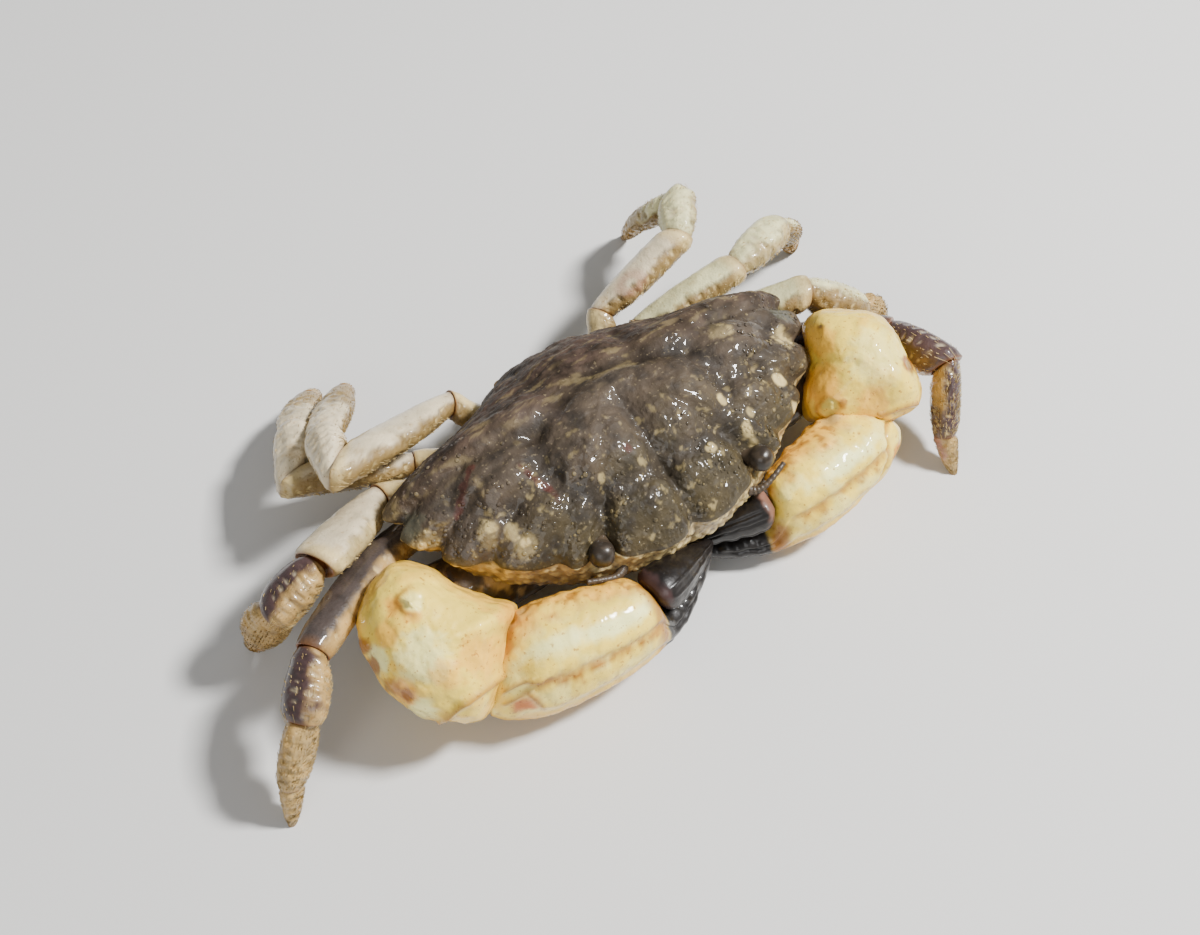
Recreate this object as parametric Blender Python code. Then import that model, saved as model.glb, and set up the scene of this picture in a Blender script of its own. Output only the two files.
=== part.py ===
"""Furrowed crab: a still, life-size model of the whole animal at rest.

The animal's own axes are the model's axes: +X is its left side, -Y its front and +Z up.
Every length below is in millimetres; MM turns it into metres.
"""

import math

import bmesh
import bpy
from mathutils import Matrix, Vector
from mathutils.bvhtree import BVHTree

MM = 0.001

# Driving dimensions
CARAPACE_TOP = 20.4
MARGIN_FRONT = 13.2
MARGIN_SIDE = 14.0
MARGIN_BACK = 7.4
UNDERSIDE = 8.0
BELLY = 3.0
JOINT_GAP = 0.3
SHELL_CENTRE = Vector((0.0, -2.0, 0.0))
BACK_FULLNESS = -0.5
# Cosines of the bearings between which the steep face turns into the sloping side
FACE_START = 0.5
FACE_END = 0.0

# Half outline of the carapace seen from above, from the middle of the front to the middle of the back
HALF_OUTLINE = (
    (0.0, -18.8), (3.6, -19.1), (7.2, -18.3), (12.6, -16.2), (17.4, -13.0), (22.4, -8.8), (25.0, -4.0),
    (25.2, 0.4),
    (23.4, 2.4), (20.2, 3.7), (16.2, 5.0), (12.8, 6.5), (9.8, 8.3), (7.2, 10.2), (4.4, 11.6), (0.0, 11.9),
)
# Notches of the margin: place, depth and half width. The four side lobes lie between them.
MARGIN_NOTCHES = (
    ((0.0, -18.8), 0.5, 0.8), ((10.4, -17.3), 2.2, 1.5), ((14.6, -15.0), 0.5, 0.8),
    ((20.6, -10.8), 0.8, 0.9), ((24.4, -6.4), 0.9, 0.9), ((25.4, -1.6), 0.8, 0.8),
)
# Lobes that stand proud of the margin: place, height and half width
MARGIN_LOBES = (
    ((3.2, -19.0), 0.3, 2.0), ((12.8, -16.2), 0.3, 1.0), ((18.0, -13.2), 0.5, 2.0),
    ((23.0, -8.8), 0.6, 1.9), ((25.4, -4.0), 0.7, 1.8), ((25.2, 0.5), 0.7, 1.5),
)
# Swollen regions of the back: centre, half sizes and height
REGIONS = (
    ((5.7, -8.4), (4.4, 4.2), 1.5), ((0.0, -3.4), (3.4, 2.4), 0.5), ((3.0, -15.8), (2.4, 1.8), 0.4),
    ((7.6, -14.6), (2.0, 1.8), 0.3), ((13.2, -11.4), (2.5, 2.2), 0.6), ((15.8, -5.8), (3.4, 3.0), 1.1),
    ((18.2, -9.9), (2.2, 2.0), 0.5), ((22.2, -5.8), (2.0, 2.2), 0.4), ((22.2, -0.8), (2.8, 2.0), 0.5),
    ((16.2, 1.0), (4.4, 2.4), 0.5), ((9.4, -0.2), (3.2, 2.4), 0.35), ((0.0, 4.8), (4.2, 3.0), 0.4),
    ((9.0, 5.4), (4.6, 2.6), 0.25),
)
# Furrows of the back: route, depth and half width
FURROWS = (
    (((0.0, -18.8), (0.0, -13.4)), 0.4, 1.1), (((0.0, -13.4), (0.0, -5.8)), 0.6, 1.2),
    (((0.0, -13.0), (4.0, -13.2), (8.0, -12.4), (10.6, -10.2), (11.0, -7.0), (9.6, -3.8), (5.0, -1.6),
    (0.0, -0.4)),
     0.65, 1.3),
    (((8.2, -12.6), (10.4, -17.3)), 0.45, 1.1), (((10.8, -8.8), (14.4, -9.0), (17.6, -7.8),
    (20.2, -4.4)), 0.5, 1.2),
    (((15.6, -8.8), (16.6, -11.0), (20.6, -10.8)), 0.45, 1.0), (((18.8, -7.6), (24.4, -6.4)), 0.45, 1.0),
    (((9.8, -3.6), (13.4, -2.4), (17.0, -2.0), (20.4, -3.8), (25.4, -1.6)), 0.5, 1.2),
    (((5.0, -1.6), (5.8, 2.6), (4.6, 7.4), (6.4, 11.4)), 0.4, 1.3),
    (((5.8, 2.6), (11.0, 2.8), (18.0, 3.2)), 0.3, 1.3), (((0.0, 8.4), (4.6, 7.6)), 0.25, 1.2),
)
# At the sides and back the underside is flat to this share of the way out, then rises to the margin.
# Behind it sinks a little between two other shares.
FLAT_TO = 0.58
DROP_FROM = 0.76
DROP_TO = 0.94
REAR_DROP = 1.2
# The underside towards the front, from the middle out: share of the way, share of the unnotched margin,
# height
FACE_PROFILE = (
    (0.0, 0.0, 8.0), (0.7, 0.78, 8.0), (0.818, 0.9, 8.2), (0.864, 0.945, 8.7), (0.91, 0.97, 10.0),
    (0.955, 0.98, 11.6),
)

# Half sizes of the breastplate, how far back its middle lies and the height of its widest level
THORAX_HALF = (11.6, 9.7)
THORAX_BACK = -1.4
THORAX_MIDDLE = 5.6
# Left eye: root, tip and sections along it, in the measure of the legs
EYE_START = (8.8, -13.8, 13.0)
EYE_END = (10.9, -17.7, 14.8)
EYE_SECTIONS = (
    (0.0, 0.9, 0.9, 0.9), (0.3, 1.0, 1.0, 1.0), (0.46, 1.05, 1.05, 1.05), (0.6, 1.3, 1.3, 1.3),
    (0.76, 1.35, 1.35, 1.35), (0.88, 1.15, 1.15, 1.15), (0.96, 0.75, 0.75, 0.75), (1.0, 0.3, 0.3, 0.3),
)
# Left feeler: places along it and its radius there
FEELER_ROUTE = (
    (7.4, -15.6, 11.0, 0.6), (8.0, -17.0, 11.0, 0.7), (8.8, -17.9, 11.1, 0.5), (9.8, -18.2, 11.5, 0.36),
    (11.2, -18.0, 12.0, 0.32), (12.8, -17.5, 12.4, 0.28),
)
FEELER_SIDES = 8
# Left door of the mouth, in the measure of the legs
DOOR_START = (2.5, -8.6, 3.6)
DOOR_END = (2.7, -15.6, 7.0)
DOOR_SECTIONS = (
    (0.0, 0.5, 0.6, 1.5), (0.12, 0.8, 0.8, 2.0), (0.5, 0.9, 0.8, 2.25), (0.6, 0.85, 0.8, 2.25),
    (0.64, 0.6, 0.8, 2.1), (0.68, 0.85, 0.8, 2.3), (0.9, 0.8, 0.8, 2.3), (1.0, 0.5, 0.6, 1.8),
)
# Middle line of the folded tail flap from the back edge forward: place, height and half width there
FLAP_ROUTE = (
    (12.4, 7.3, 4.6), (12.7, 5.6, 4.4), (11.2, 3.7, 4.3), (8.6, 2.7, 4.1), (6.0, 2.35, 3.7),
    (5.6, 2.5, 3.5),
    (2.6, 2.25, 3.0), (2.2, 2.4, 2.8), (-0.6, 2.3, 2.3), (-1.0, 2.4, 2.0), (-3.6, 2.4, 1.2),
    (-4.6, 2.6, 0.5),
)
FLAP_THICKNESS = 1.0
FLAP_SIDES = 12

# Joint points of the walking legs: hip, merus start, knee, carpus end, propodus end, tip
LEGS = {
    "leg1_right": (
        (-10.4, -3.6, 5.6), (-19.6, 1.2, 7.4), (-39.7, -8.8, 13.0),
        (-43.8, -13.4, 10.5), (-47.4, -15.8, 4.8), (-48.9, -17.2, 0.0),
    ),
    "leg2_right": (
        (-10.6, 1.0, 5.6), (-23.6, 6.0, 8.4), (-34.5, -0.1, 13.0),
        (-39.9, -1.1, 10.5), (-41.9, 0.6, 4.8), (-42.4, 3.4, 0.0),
    ),
    "leg3_right": (
        (-10.0, 5.0, 5.6), (-17.4, 9.4, 5.8), (-30.0, 13.4, 8.6),
        (-26.6, 19.0, 8.4), (-22.2, 25.0, 4.4), (-19.6, 28.4, 0.0),
    ),
    "leg4_right": (
        (-7.4, 7.8, 6.0), (-10.8, 12.0, 9.0), (-27.0, 8.1, 14.0),
        (-25.6, 13.6, 12.6), (-19.2, 21.6, 7.0), (-16.4, 26.4, 0.0),
    ),
    "leg1_left": (
        (10.4, -3.6, 5.6), (19.6, 0.0, 6.8), (36.4, -8.2, 8.2),
        (37.6, -16.2, 9.5), (34.5, -20.8, 3.9), (34.2, -23.4, 0.0),
    ),
    "leg2_left": (
        (10.6, 1.0, 5.6), (19.4, 5.2, 7.6), (30.1, -0.1, 12.0),
        (36.0, -2.7, 7.4), (39.4, -3.0, 3.7), (41.2, -4.4, 0.0),
    ),
    "leg3_left": (
        (10.0, 5.0, 5.6), (13.8, 9.2, 8.0), (25.9, 7.6, 12.0),
        (33.4, 9.9, 11.5), (38.2, 12.4, 5.2), (40.4, 13.6, 0.0),
    ),
    "leg4_left": (
        (7.4, 7.8, 6.0), (10.8, 13.2, 8.6), (22.6, 14.5, 13.0),
        (25.9, 19.2, 13.0), (24.0, 24.0, 6.4), (24.6, 27.6, 0.0),
    ),
}
# Sideways bow of an arm-like article, where it passes round a claw
MERUS_BOWS = {"leg1_right": (0.5, 1.6, 0.2), "leg1_left": (0.2, 1.4, 0.0)}
LEG_SCALE = {"leg1": 1.05, "leg2": 1.08, "leg3": 1.0, "leg4": 0.97}
# Way in which the crest of the last two articles points, with +X as the leg's own side
FOOT_CRESTS = {
    "leg1": (0.0, 0.0, 1.0), "leg2": (0.0, 0.0, 1.0), "leg3": (1.0, -0.6, 0.5), "leg4": (1.0, -0.6, 0.5),
}
# How much deeper a leg's arm grows towards its knee
MERUS_FLARES = {"leg1_right": 0.8, "leg2_right": 1.45, "leg3_right": 1.2, "leg4_right": 1.3}
# A knee bent by more than this many degrees is blunted: beyond a limit from its joint only a share is kept
SHARP_BEND = 65.0
KNEE_LIMIT = 2.0
KNEE_KEPT = 0.2

# Cross sections along each article of a walking leg: share of its length, height of the crest side,
# height of the lower side, half thickness
LEG_SECTIONS = {
    "coxa": (
        (0.0, 1.9, 1.9, 1.8), (0.3, 2.1, 2.1, 1.9), (0.62, 1.7, 1.7, 1.6), (0.85, 1.9, 1.9, 1.7),
        (1.0, 1.6, 1.6, 1.5),
    ),
    "merus": (
        (0.0, 1.4, 1.4, 1.3), (0.1, 1.8, 1.8, 1.5), (0.25, 2.5, 2.1, 1.7), (0.45, 2.8, 2.3, 1.8),
        (0.65, 2.8, 2.3, 1.9),
        (0.82, 2.7, 2.2, 1.9), (0.94, 2.5, 2.1, 1.9), (1.0, 2.1, 1.9, 1.7),
    ),
    "carpus": (
        (0.0, 1.6, 1.6, 1.4), (0.15, 2.2, 1.8, 1.8), (0.4, 2.8, 2.1, 2.1), (0.65, 2.9, 2.2, 2.2),
        (0.88, 2.7, 2.1, 2.1), (1.0, 2.1, 1.8, 1.8),
    ),
    "propodus": (
        (0.0, 1.7, 1.6, 1.3), (0.15, 2.3, 2.0, 1.5), (0.45, 2.6, 2.2, 1.6), (0.8, 2.2, 1.9, 1.5),
        (1.0, 1.6, 1.5, 1.2),
    ),
    "dactyl": (
        (0.0, 1.3, 1.3, 1.1), (0.15, 1.4, 1.35, 1.15), (0.45, 1.2, 1.1, 1.0), (0.75, 0.85, 0.8, 0.75),
        (0.93, 0.55, 0.5, 0.5), (1.0, 0.45, 0.45, 0.45),
    ),
}
LEG_ARTICLES = ("coxa", "merus", "carpus", "propodus", "dactyl")
LEG_SIDES = 8
# Share of an article's length over which its rings turn into the plane of the joint
LEAN_REACH = 0.42
CARAPACE_CELLS = 38

# Claws: hip, arm start, arm end, middle and depth of the wrist, start and end of the palm, direction from the
# palm's lower to its upper edge, size, turn of the fingers in degrees, and the shares of the palm's lower and
# upper edge that are missing by the wrist
CLAWS = {
    "right": {
        "hip": (-8.4, -8.0, 5.8), "arm": (-13.4, -9.6, 6.0), "elbow": (-25.6, -7.0, 7.6),
        "carpus": (-28.3, -13.0, 10.0), "carpus_depth": 7.6, "wrist": (-24.4, -18.9, 8.2),
        "palm_end": (-7.2, -22.9, 7.4), "palm_up": (0.0, 0.15, 1.0), "size": 1.0, "turn": 34.0,
        "heel_cut": 0.0, "crown_cut": 0.0,
    },
    "left": {
        "hip": (8.4, -8.0, 5.8), "arm": (13.4, -9.0, 6.0), "elbow": (24.6, -6.6, 8.0),
        "carpus": (28.7, -11.8, 11.2), "carpus_depth": 6.8, "wrist": (26.6, -17.2, 8.6),
        "palm_end": (10.2, -20.2, 5.8), "palm_up": (0.0, 0.2, 1.0), "size": 0.95, "turn": 34.0,
        "heel_cut": 0.3, "crown_cut": 0.24,
    },
}
# The claws' wrists are drawn looking along this slope: its turn and its rise in degrees
WRIST_TURN = -35.4
WRIST_RISE = 54.9
# Outline of each wrist in that view: angle in degrees from its right, and half width
WRIST_OUTLINES = {
    "right": (
        (-175, 7.6), (-158, 6.9), (-132, 7.0), (-95, 7.9), (-73, 8.5), (-58, 9.2), (-39, 8.3),
        (-22, 7.6), (-5, 7.2),
        (10, 7.6), (20, 8.7), (26, 8.6), (36, 7.1), (56, 6.0), (76, 6.1), (101, 7.7), (118, 8.8),
        (136, 8.7), (160, 8.1),
    ),
    "left": (
        (-172, 6.2), (-158, 7.1), (-147, 8.0), (-137, 8.4), (-122, 7.6), (-105, 7.1), (-82, 6.7),
        (-58, 6.9), (-40, 7.3),
        (-29, 7.3), (-10, 6.2), (12, 5.0), (32, 4.9), (56, 5.5), (84, 6.2), (112, 7.0), (132, 8.2),
        (142, 8.0),
        (160, 6.8), (174, 6.0),
    ),
}
WRIST_COLUMNS = 26
WRIST_ROWS = 13
# Under 1 the wrist is fuller than an ellipsoid
WRIST_SQUARENESS = 0.9
# Raised and sunk places of a wrist: right and up in that view, spread and height
WRIST_BUMPS = {
    "right": (
        (-1.8, 4.3, 0.85, 0.9), (-3.5, 3.9, 0.8, -0.5), (-2.4, -4.6, 1.3, -0.7), (-6.3, -1.2, 1.0, -0.6),
        (1.8, -1.0, 2.8, 0.4), (5.6, 1.6, 1.6, 0.4),
    ),
    "left": (
        (-4.3, -4.6, 0.95, 0.7), (-2.9, -4.2, 0.5, 0.45), (5.0, 0.1, 0.9, -0.45), (0.6, -3.6, 1.8, -0.5),
        (4.0, -2.4, 2.2, 0.5), (-2.6, 2.6, 2.6, 0.3), (1.3, 1.4, 2.4, 0.35),
    ),
}
# Cross sections of the two claw articles next to the body, in the measure of the legs
CLAW_COXA = ((0.0, 2.6, 2.4, 2.4), (0.5, 3.0, 2.6, 2.6), (1.0, 2.5, 2.4, 2.3))
CLAW_MERUS = (
    (0.0, 2.3, 2.2, 2.1), (0.15, 3.0, 2.7, 2.7), (0.4, 3.6, 3.0, 3.3), (0.7, 3.8, 3.1, 3.5),
    (1.0, 3.2, 3.0, 3.2),
    (1.2, 2.8, 2.8, 2.8),
)
PALM_LENGTH = 17.2
FINGER_LENGTH = 11.0
PALM_SIDES = 16
FINGER_SIDES = 10
BEND_START = 0.62
HEEL_END = 12.0
HEEL_FADE = 6.0
TOOTH_START = 18.8
TOOTH_END = 27.4
TOOTH_SPACING = 2.2
TOOTH_HEIGHT = 0.22
# Long grooves of the palm's outer face: place between the lower edge at -1 and the upper at 1, depth and
# half width
PALM_GROOVES = ((0.33, 0.45, 0.13), (-0.45, 0.3, 0.16))
# Palm and fixed finger along the hand: distance from the wrist, lower edge, upper edge, half thickness
HAND_SECTIONS = (
    (-1.8, -5.6, -1.4, 1.8), (-0.6, -6.4, 1.6, 2.9), (1.2, -6.7, 4.0, 3.8), (3.4, -6.8, 5.6, 4.8),
    (6.2, -6.4, 6.1, 5.0), (9.0, -5.8, 6.1, 4.8), (11.8, -5.3, 5.8, 4.4), (14.4, -5.0, 5.5, 3.9),
    (16.0, -4.8, 4.7, 3.4), (17.2, -4.6, 1.6, 3.0), (18.2, -4.4, -0.2, 2.8), (19.35, -4.1, -0.5, 2.6),
    (20.45, -3.9, -0.5, 2.4), (21.55, -3.6, -0.5, 2.2), (22.65, -3.3, -0.45, 2.0),
    (23.75, -3.0, -0.4, 1.75),
    (24.85, -2.6, -0.4, 1.5), (25.95, -2.1, -0.35, 1.2), (27.1, -1.5, -0.25, 0.85), (28.1, -0.9, -0.1, 0.5),
)
# Movable finger in the same measure
FINGER_SECTIONS = (
    (17.0, 2.6, 4.0, 1.6), (17.6, 1.2, 4.7, 2.4), (18.25, 0.3, 4.9, 2.6), (19.35, 0.0, 4.8, 2.5),
    (20.45, 0.0, 4.5, 2.35), (21.55, 0.05, 4.2, 2.2), (22.65, 0.1, 3.8, 2.0), (23.75, 0.1, 3.3, 1.75),
    (24.85, 0.15, 2.8, 1.5), (25.95, 0.2, 2.3, 1.2), (27.1, 0.25, 1.7, 0.9), (28.1, 0.35, 1.1, 0.55),
)


def clear_scene():
    for old in list(bpy.data.objects):
        bpy.data.objects.remove(old, do_unlink=True)


def make_material(name, colour, roughness):
    material = bpy.data.materials.new(name)
    material.use_nodes = True
    shader = material.node_tree.nodes["Principled BSDF"]
    shader.inputs["Base Color"].default_value = (*colour, 1.0)
    shader.inputs["Roughness"].default_value = roughness
    return material


def add_object(name, bm, material, collection):
    """Makes a smooth-shaded object from a bmesh whose points are in millimetres."""
    bmesh.ops.recalc_face_normals(bm, faces=bm.faces)
    bmesh.ops.transform(bm, matrix=Matrix.Scale(MM, 4), verts=bm.verts)
    mesh = bpy.data.meshes.new(name)
    bm.to_mesh(mesh)
    bm.free()
    mesh.shade_smooth()
    mesh.materials.append(material)
    obj = bpy.data.objects.new(name, mesh)
    collection.objects.link(obj)
    return obj


def smooth_table(value, table):
    """Reads a table of (key, numbers...) at a value, with a smooth curve through its rows."""
    if value <= table[0][0]:
        return table[0][1:]
    if value >= table[-1][0]:
        return table[-1][1:]
    i = max(k for k in range(len(table) - 1) if table[k][0] <= value)
    before, low, high, after = table[max(i - 1, 0)], table[i], table[i + 1], table[min(i + 2, len(table) - 1)]
    span = high[0] - low[0]
    t = (value - low[0]) / span
    result = []
    for k in range(1, len(low)):
        slope_low = (high[k] - before[k]) / max(high[0] - before[0], 1e-9) * span
        slope_high = (after[k] - low[k]) / max(after[0] - low[0], 1e-9) * span
        t2, t3 = t * t, t * t * t
        result.append(
            (2 * t3 - 3 * t2 + 1) * low[k] + (t3 - 2 * t2 + t) * slope_low
            + (3 * t2 - 2 * t3) * high[k] + (t3 - t2) * slope_high
        )
    return tuple(result)


def bearing_of(x, y):
    """Angle of a place round the shell's centre: 0 at the front, pi at the back."""
    return math.atan2(abs(x - SHELL_CENTRE.x), -(y - SHELL_CENTRE.y))


OUTLINE_TABLE = tuple(
    (bearing_of(x, y), math.hypot(x - SHELL_CENTRE.x, y - SHELL_CENTRE.y)) for x, y in HALF_OUTLINE
)


def margin_radius(bearing):
    """Distance from the shell's centre to its margin, with the lobes and notches of the edge."""
    radius = smooth_table(bearing, OUTLINE_TABLE)[0]
    plain = radius
    for (x, y), height, half_width in MARGIN_LOBES:
        away = (bearing - bearing_of(x, y)) * plain / half_width
        radius += height * math.exp(-(away ** 4))
    for (x, y), depth, half_width in MARGIN_NOTCHES:
        away = (bearing - bearing_of(x, y)) * plain / half_width
        radius -= depth * math.exp(-(away ** 2))
    return radius


def margin_height(bearing):
    to_side = math.sin(min(bearing, math.pi / 2)) ** 2
    front = MARGIN_FRONT + (MARGIN_SIDE - MARGIN_FRONT) * to_side
    if bearing <= math.pi / 2:
        return front
    to_back = abs(math.cos(bearing)) ** 1.2
    return MARGIN_SIDE + (MARGIN_BACK - MARGIN_SIDE) * to_back


def distance_to_route(x, y, route):
    place = Vector((x, y))
    best = 1e9
    for start, end in zip(route, route[1:]):
        a, b = Vector(start), Vector(end)
        t = max(0.0, min(1.0, (place - a).dot(b - a) / (b - a).length_squared))
        best = min(best, (place - a.lerp(b, t)).length)
    return best


def relief(x, y):
    """Height that the swollen regions and the furrows add at a place on the back."""
    x = abs(x)
    height = 0.0
    for (cx, cy), (rx, ry), rise in REGIONS:
        height += rise * math.exp(-(((x - cx) / rx) ** 2 + ((y - cy) / ry) ** 2))
    for route, depth, half_width in FURROWS:
        height -= depth * math.exp(-((distance_to_route(x, y, route) / half_width) ** 2))
    return height


def shell_top(x, y):
    """Height of the back at a place inside the margin."""
    bearing = bearing_of(x, y)
    share = min(1.0, math.hypot(x - SHELL_CENTRE.x, y - SHELL_CENTRE.y) / margin_radius(bearing))
    edge = margin_height(bearing)
    backward = max(0.0, -math.cos(bearing))
    fullness = 2.2 + 0.6 * math.sin(bearing) ** 2 + BACK_FULLNESS * backward
    dome = (1.0 - share ** fullness) ** (0.8 - 0.15 * backward)
    fade = min(1.0, (1.0 - share) * 8.0)
    return edge + (CARAPACE_TOP - edge) * dome + relief(x, y) * fade


def face_point(share, bearing):
    """Distance out and height of the underside at a share of the way to the margin, at the front."""
    plain = smooth_table(bearing, OUTLINE_TABLE)[0]
    last = FACE_PROFILE[-1]
    if share <= last[0]:
        out, height = smooth_table(share, FACE_PROFILE)
        return out * plain, height
    t = (share - last[0]) / (1.0 - last[0])
    out = last[1] * plain * (1 - t) + margin_radius(bearing) * t
    return out, last[2] * (1 - t) + margin_height(bearing) * t


def side_point(share, bearing):
    """The same at the sides and back, where the underside slopes in under the margin."""
    rise = max(0.0, (share - FLAT_TO) / (1.0 - FLAT_TO)) ** 1.8
    drop = max(0.0, min(1.0, (share - DROP_FROM) / (DROP_TO - DROP_FROM)))
    floor = UNDERSIDE if bearing < math.pi / 2 else UNDERSIDE - REAR_DROP * drop * math.cos(bearing) ** 2
    return margin_radius(bearing) * share, floor + (margin_height(bearing) - floor) * rise


def under_point(share, bearing):
    """Blends the steep face into the sloping sides."""
    t = max(0.0, min(1.0, (math.cos(bearing) - FACE_END) / (FACE_START - FACE_END)))
    weight = t * t * (3.0 - 2.0 * t)
    face, side = face_point(share, bearing), side_point(share, bearing)
    return tuple(a * weight + b * (1.0 - weight) for a, b in zip(face, side))


def spread_angle(angle):
    """Packs the mesh closer towards the front, where the margin is notched."""
    return angle - 0.22 * math.sin(angle)


def carapace_point(u, v, under):
    """A point of the shell from a place on a square sheet whose middle is the shell's middle."""
    x, y = u * math.sqrt(1.0 - v * v / 2), v * math.sqrt(1.0 - u * u / 2)
    share = min(1.0, math.hypot(x, y))
    angle = spread_angle(math.atan2(x, -y))
    bearing = abs(angle)
    share = share ** (0.8 if under else 0.92)
    if under:
        radius, height = under_point(share, bearing)
    else:
        radius = margin_radius(bearing) * share
    place = SHELL_CENTRE + Vector((math.sin(angle) * radius, -math.cos(angle) * radius, 0.0))
    if not under:
        height = shell_top(place.x, place.y)
    return Vector((place.x, place.y, height))


def build_carapace(material, collection):
    """Two square sheets sewn at their rims, one shaped to the back and one to the underside."""
    bm = bmesh.new()
    cells = CARAPACE_CELLS
    rows = {}
    for under in (False, True):
        for i in range(cells + 1):
            for j in range(cells + 1):
                on_rim = i in (0, cells) or j in (0, cells)
                if under and on_rim:
                    rows[(True, i, j)] = rows[(False, i, j)]
                    continue
                u, v = 2.0 * i / cells - 1.0, 2.0 * j / cells - 1.0
                rows[(under, i, j)] = bm.verts.new(carapace_point(u, v, under))
        for i in range(cells):
            for j in range(cells):
                corners = [rows[(under, *c)] for c in ((i, j), (i + 1, j), (i + 1, j + 1), (i, j + 1))]
                bm.faces.new(corners[::-1] if under else corners)
    return add_object("carapace", bm, material, collection)


def skin_rings(rings):
    """A closed bmesh over a row of rings of points; each end is filled with one flat face."""
    bm = bmesh.new()
    loops = [[bm.verts.new(point) for point in ring] for ring in rings]
    sides = len(loops[0])
    for near, far in zip(loops, loops[1:]):
        for k in range(sides):
            bm.faces.new((near[k], near[(k + 1) % sides], far[(k + 1) % sides], far[k]))
    bm.faces.new(list(reversed(loops[0])))
    bm.faces.new(loops[-1])
    return bm


def power(value, exponent):
    return math.copysign(abs(value) ** exponent, value)


def section_points(centre, side, up, half, above, below, sides, crest=1.25, roundness=0.85):
    """One ring: rounded sides and lower edge, and a keener upper edge."""
    points = []
    for k in range(sides):
        angle = 2.0 * math.pi * (k + 0.5 * (sides % 2)) / sides + math.pi / 2
        across = power(math.cos(angle), roundness) * half
        along = math.sin(angle)
        rise = above * power(along, crest) if along > 0 else below * power(along, roundness)
        points.append(centre + side * across + up * rise)
    return points


def knee_outward(before, after, size):
    """Direction and distance at which a sharply bent knee is blunted, or None."""
    if before is None or after is None or before.angle(after) < math.radians(SHARP_BEND):
        return None
    return (before - after).normalized(), KNEE_LIMIT * size


def blunt(point, joint, knee):
    """Draws a point in towards the joint where it lies beyond the knee's limit."""
    if knee is None:
        return point
    outward, limit = knee
    beyond = (point - joint).dot(outward) - limit
    return point - outward * beyond * (1.0 - KNEE_KEPT) if beyond > 0 else point


def article_rings(start, end, crest, sections, size, normals, gaps, bow=Vector((0.0, 0.0, 0.0)), flare=1.0,
                  knees=(None, None)):
    """Rings of one limb article, its end rings laid in the joint planes that it shares."""
    along = (end - start).normalized()
    up = (crest - crest.dot(along) * along).normalized()
    side = along.cross(up)
    rings = []
    for share, above, below, half in sections:
        centre = start.lerp(end, share) + bow * math.sin(math.pi * share)
        deep = size * (1.0 + (flare - 1.0) * share)
        ring = section_points(centre, side, up, half * size, above * deep, below * deep, LEG_SIDES)
        for anchor, normal, gap, weight in (
            (start, normals[0], gaps[0], max(0.0, 1.0 - share / LEAN_REACH)),
            (end, normals[1], -gaps[1], max(0.0, 1.0 - (1.0 - share) / LEAN_REACH)),
        ):
            if weight <= 0.0:
                continue
            for k, point in enumerate(ring):
                lean = (anchor - point + along * (point - anchor).dot(along)).dot(normal) / along.dot(normal)
                ring[k] = point + along * (lean + (normal * gap).dot(along)) * weight
        rings.append([blunt(blunt(point, start, knees[0]), end, knees[1]) for point in ring])
    return rings


def joint_normals(points):
    """The plane between two articles halves the angle between them."""
    ways = [(b - a).normalized() for a, b in zip(points, points[1:])]
    normals = [ways[0]]
    normals += [(a + b).normalized() for a, b in zip(ways, ways[1:])]
    normals.append(ways[-1])
    return normals


def mirrored(place, side_name):
    """A place given for the left side, or its mirror image on the right."""
    x, y, z = place
    return Vector((x if side_name == "left" else -x, y, z))


def build_leg(name, material, collection):
    points = [Vector(p) for p in LEGS[name]]
    pair = name.split("_")[0]
    size = LEG_SCALE[pair]
    normals = joint_normals(points)
    normals[-1] = Vector((0.0, 0.0, -1.0))
    ways = [None] + [(b - a).normalized() for a, b in zip(points, points[1:])] + [None]
    knees = [knee_outward(before, after, size) for before, after in zip(ways, ways[1:])]
    made = []
    for k, article in enumerate(LEG_ARTICLES):
        crest = Vector((0.0, -0.8, 0.6)) if k < 3 else mirrored(FOOT_CRESTS[pair], name.split("_")[1])
        gaps = (JOINT_GAP / 2 if k else 0.0, JOINT_GAP / 2 if k < 4 else 0.0)
        bow, flare = Vector((0.0, 0.0, 0.0)), 1.0
        if article == "merus":
            bow, flare = Vector(MERUS_BOWS.get(name, bow)), MERUS_FLARES.get(name, 1.0)
        rings = article_rings(
            points[k], points[k + 1], crest, LEG_SECTIONS[article], size, normals[k:k + 2], gaps, bow, flare,
            knees[k:k + 2],
        )
        made.append(add_object(f"{name}_{article}", skin_rings(rings), material, collection))
    return made


def frame_of(origin, forward, up_hint):
    forward = forward.normalized()
    up = (up_hint - up_hint.dot(forward) * forward).normalized()
    outward = up.cross(forward)
    matrix = Matrix((forward, outward, up)).transposed().to_4x4()
    matrix.translation = origin
    return matrix


def bend_hand(point, inner, bend):
    """Curves the far part of the hand towards the inner side, as a crab's fingers turn to its mouth."""
    start = PALM_LENGTH * BEND_START
    length = PALM_LENGTH - start + FINGER_LENGTH * 0.35
    if point.x <= start:
        return point
    run = point.x - start
    turned = min(run, length)
    angle = bend * turned / length
    radius = length / bend
    x = start + radius * math.sin(angle)
    y = inner * radius * (1.0 - math.cos(angle))
    beyond = run - turned
    x += beyond * math.cos(angle)
    y += inner * beyond * math.sin(angle)
    return Vector((x - inner * point.y * math.sin(angle), y + point.y * math.cos(angle), point.z))


def tooth_wave(x):
    """Height of the blunt teeth along the biting edges."""
    fade = max(0.0, min(1.0, (x - TOOTH_START) / 1.5, (TOOTH_END - x) / 1.5))
    return TOOTH_HEIGHT * fade * math.cos(2.0 * math.pi * (x - TOOTH_START) / TOOTH_SPACING)


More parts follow.
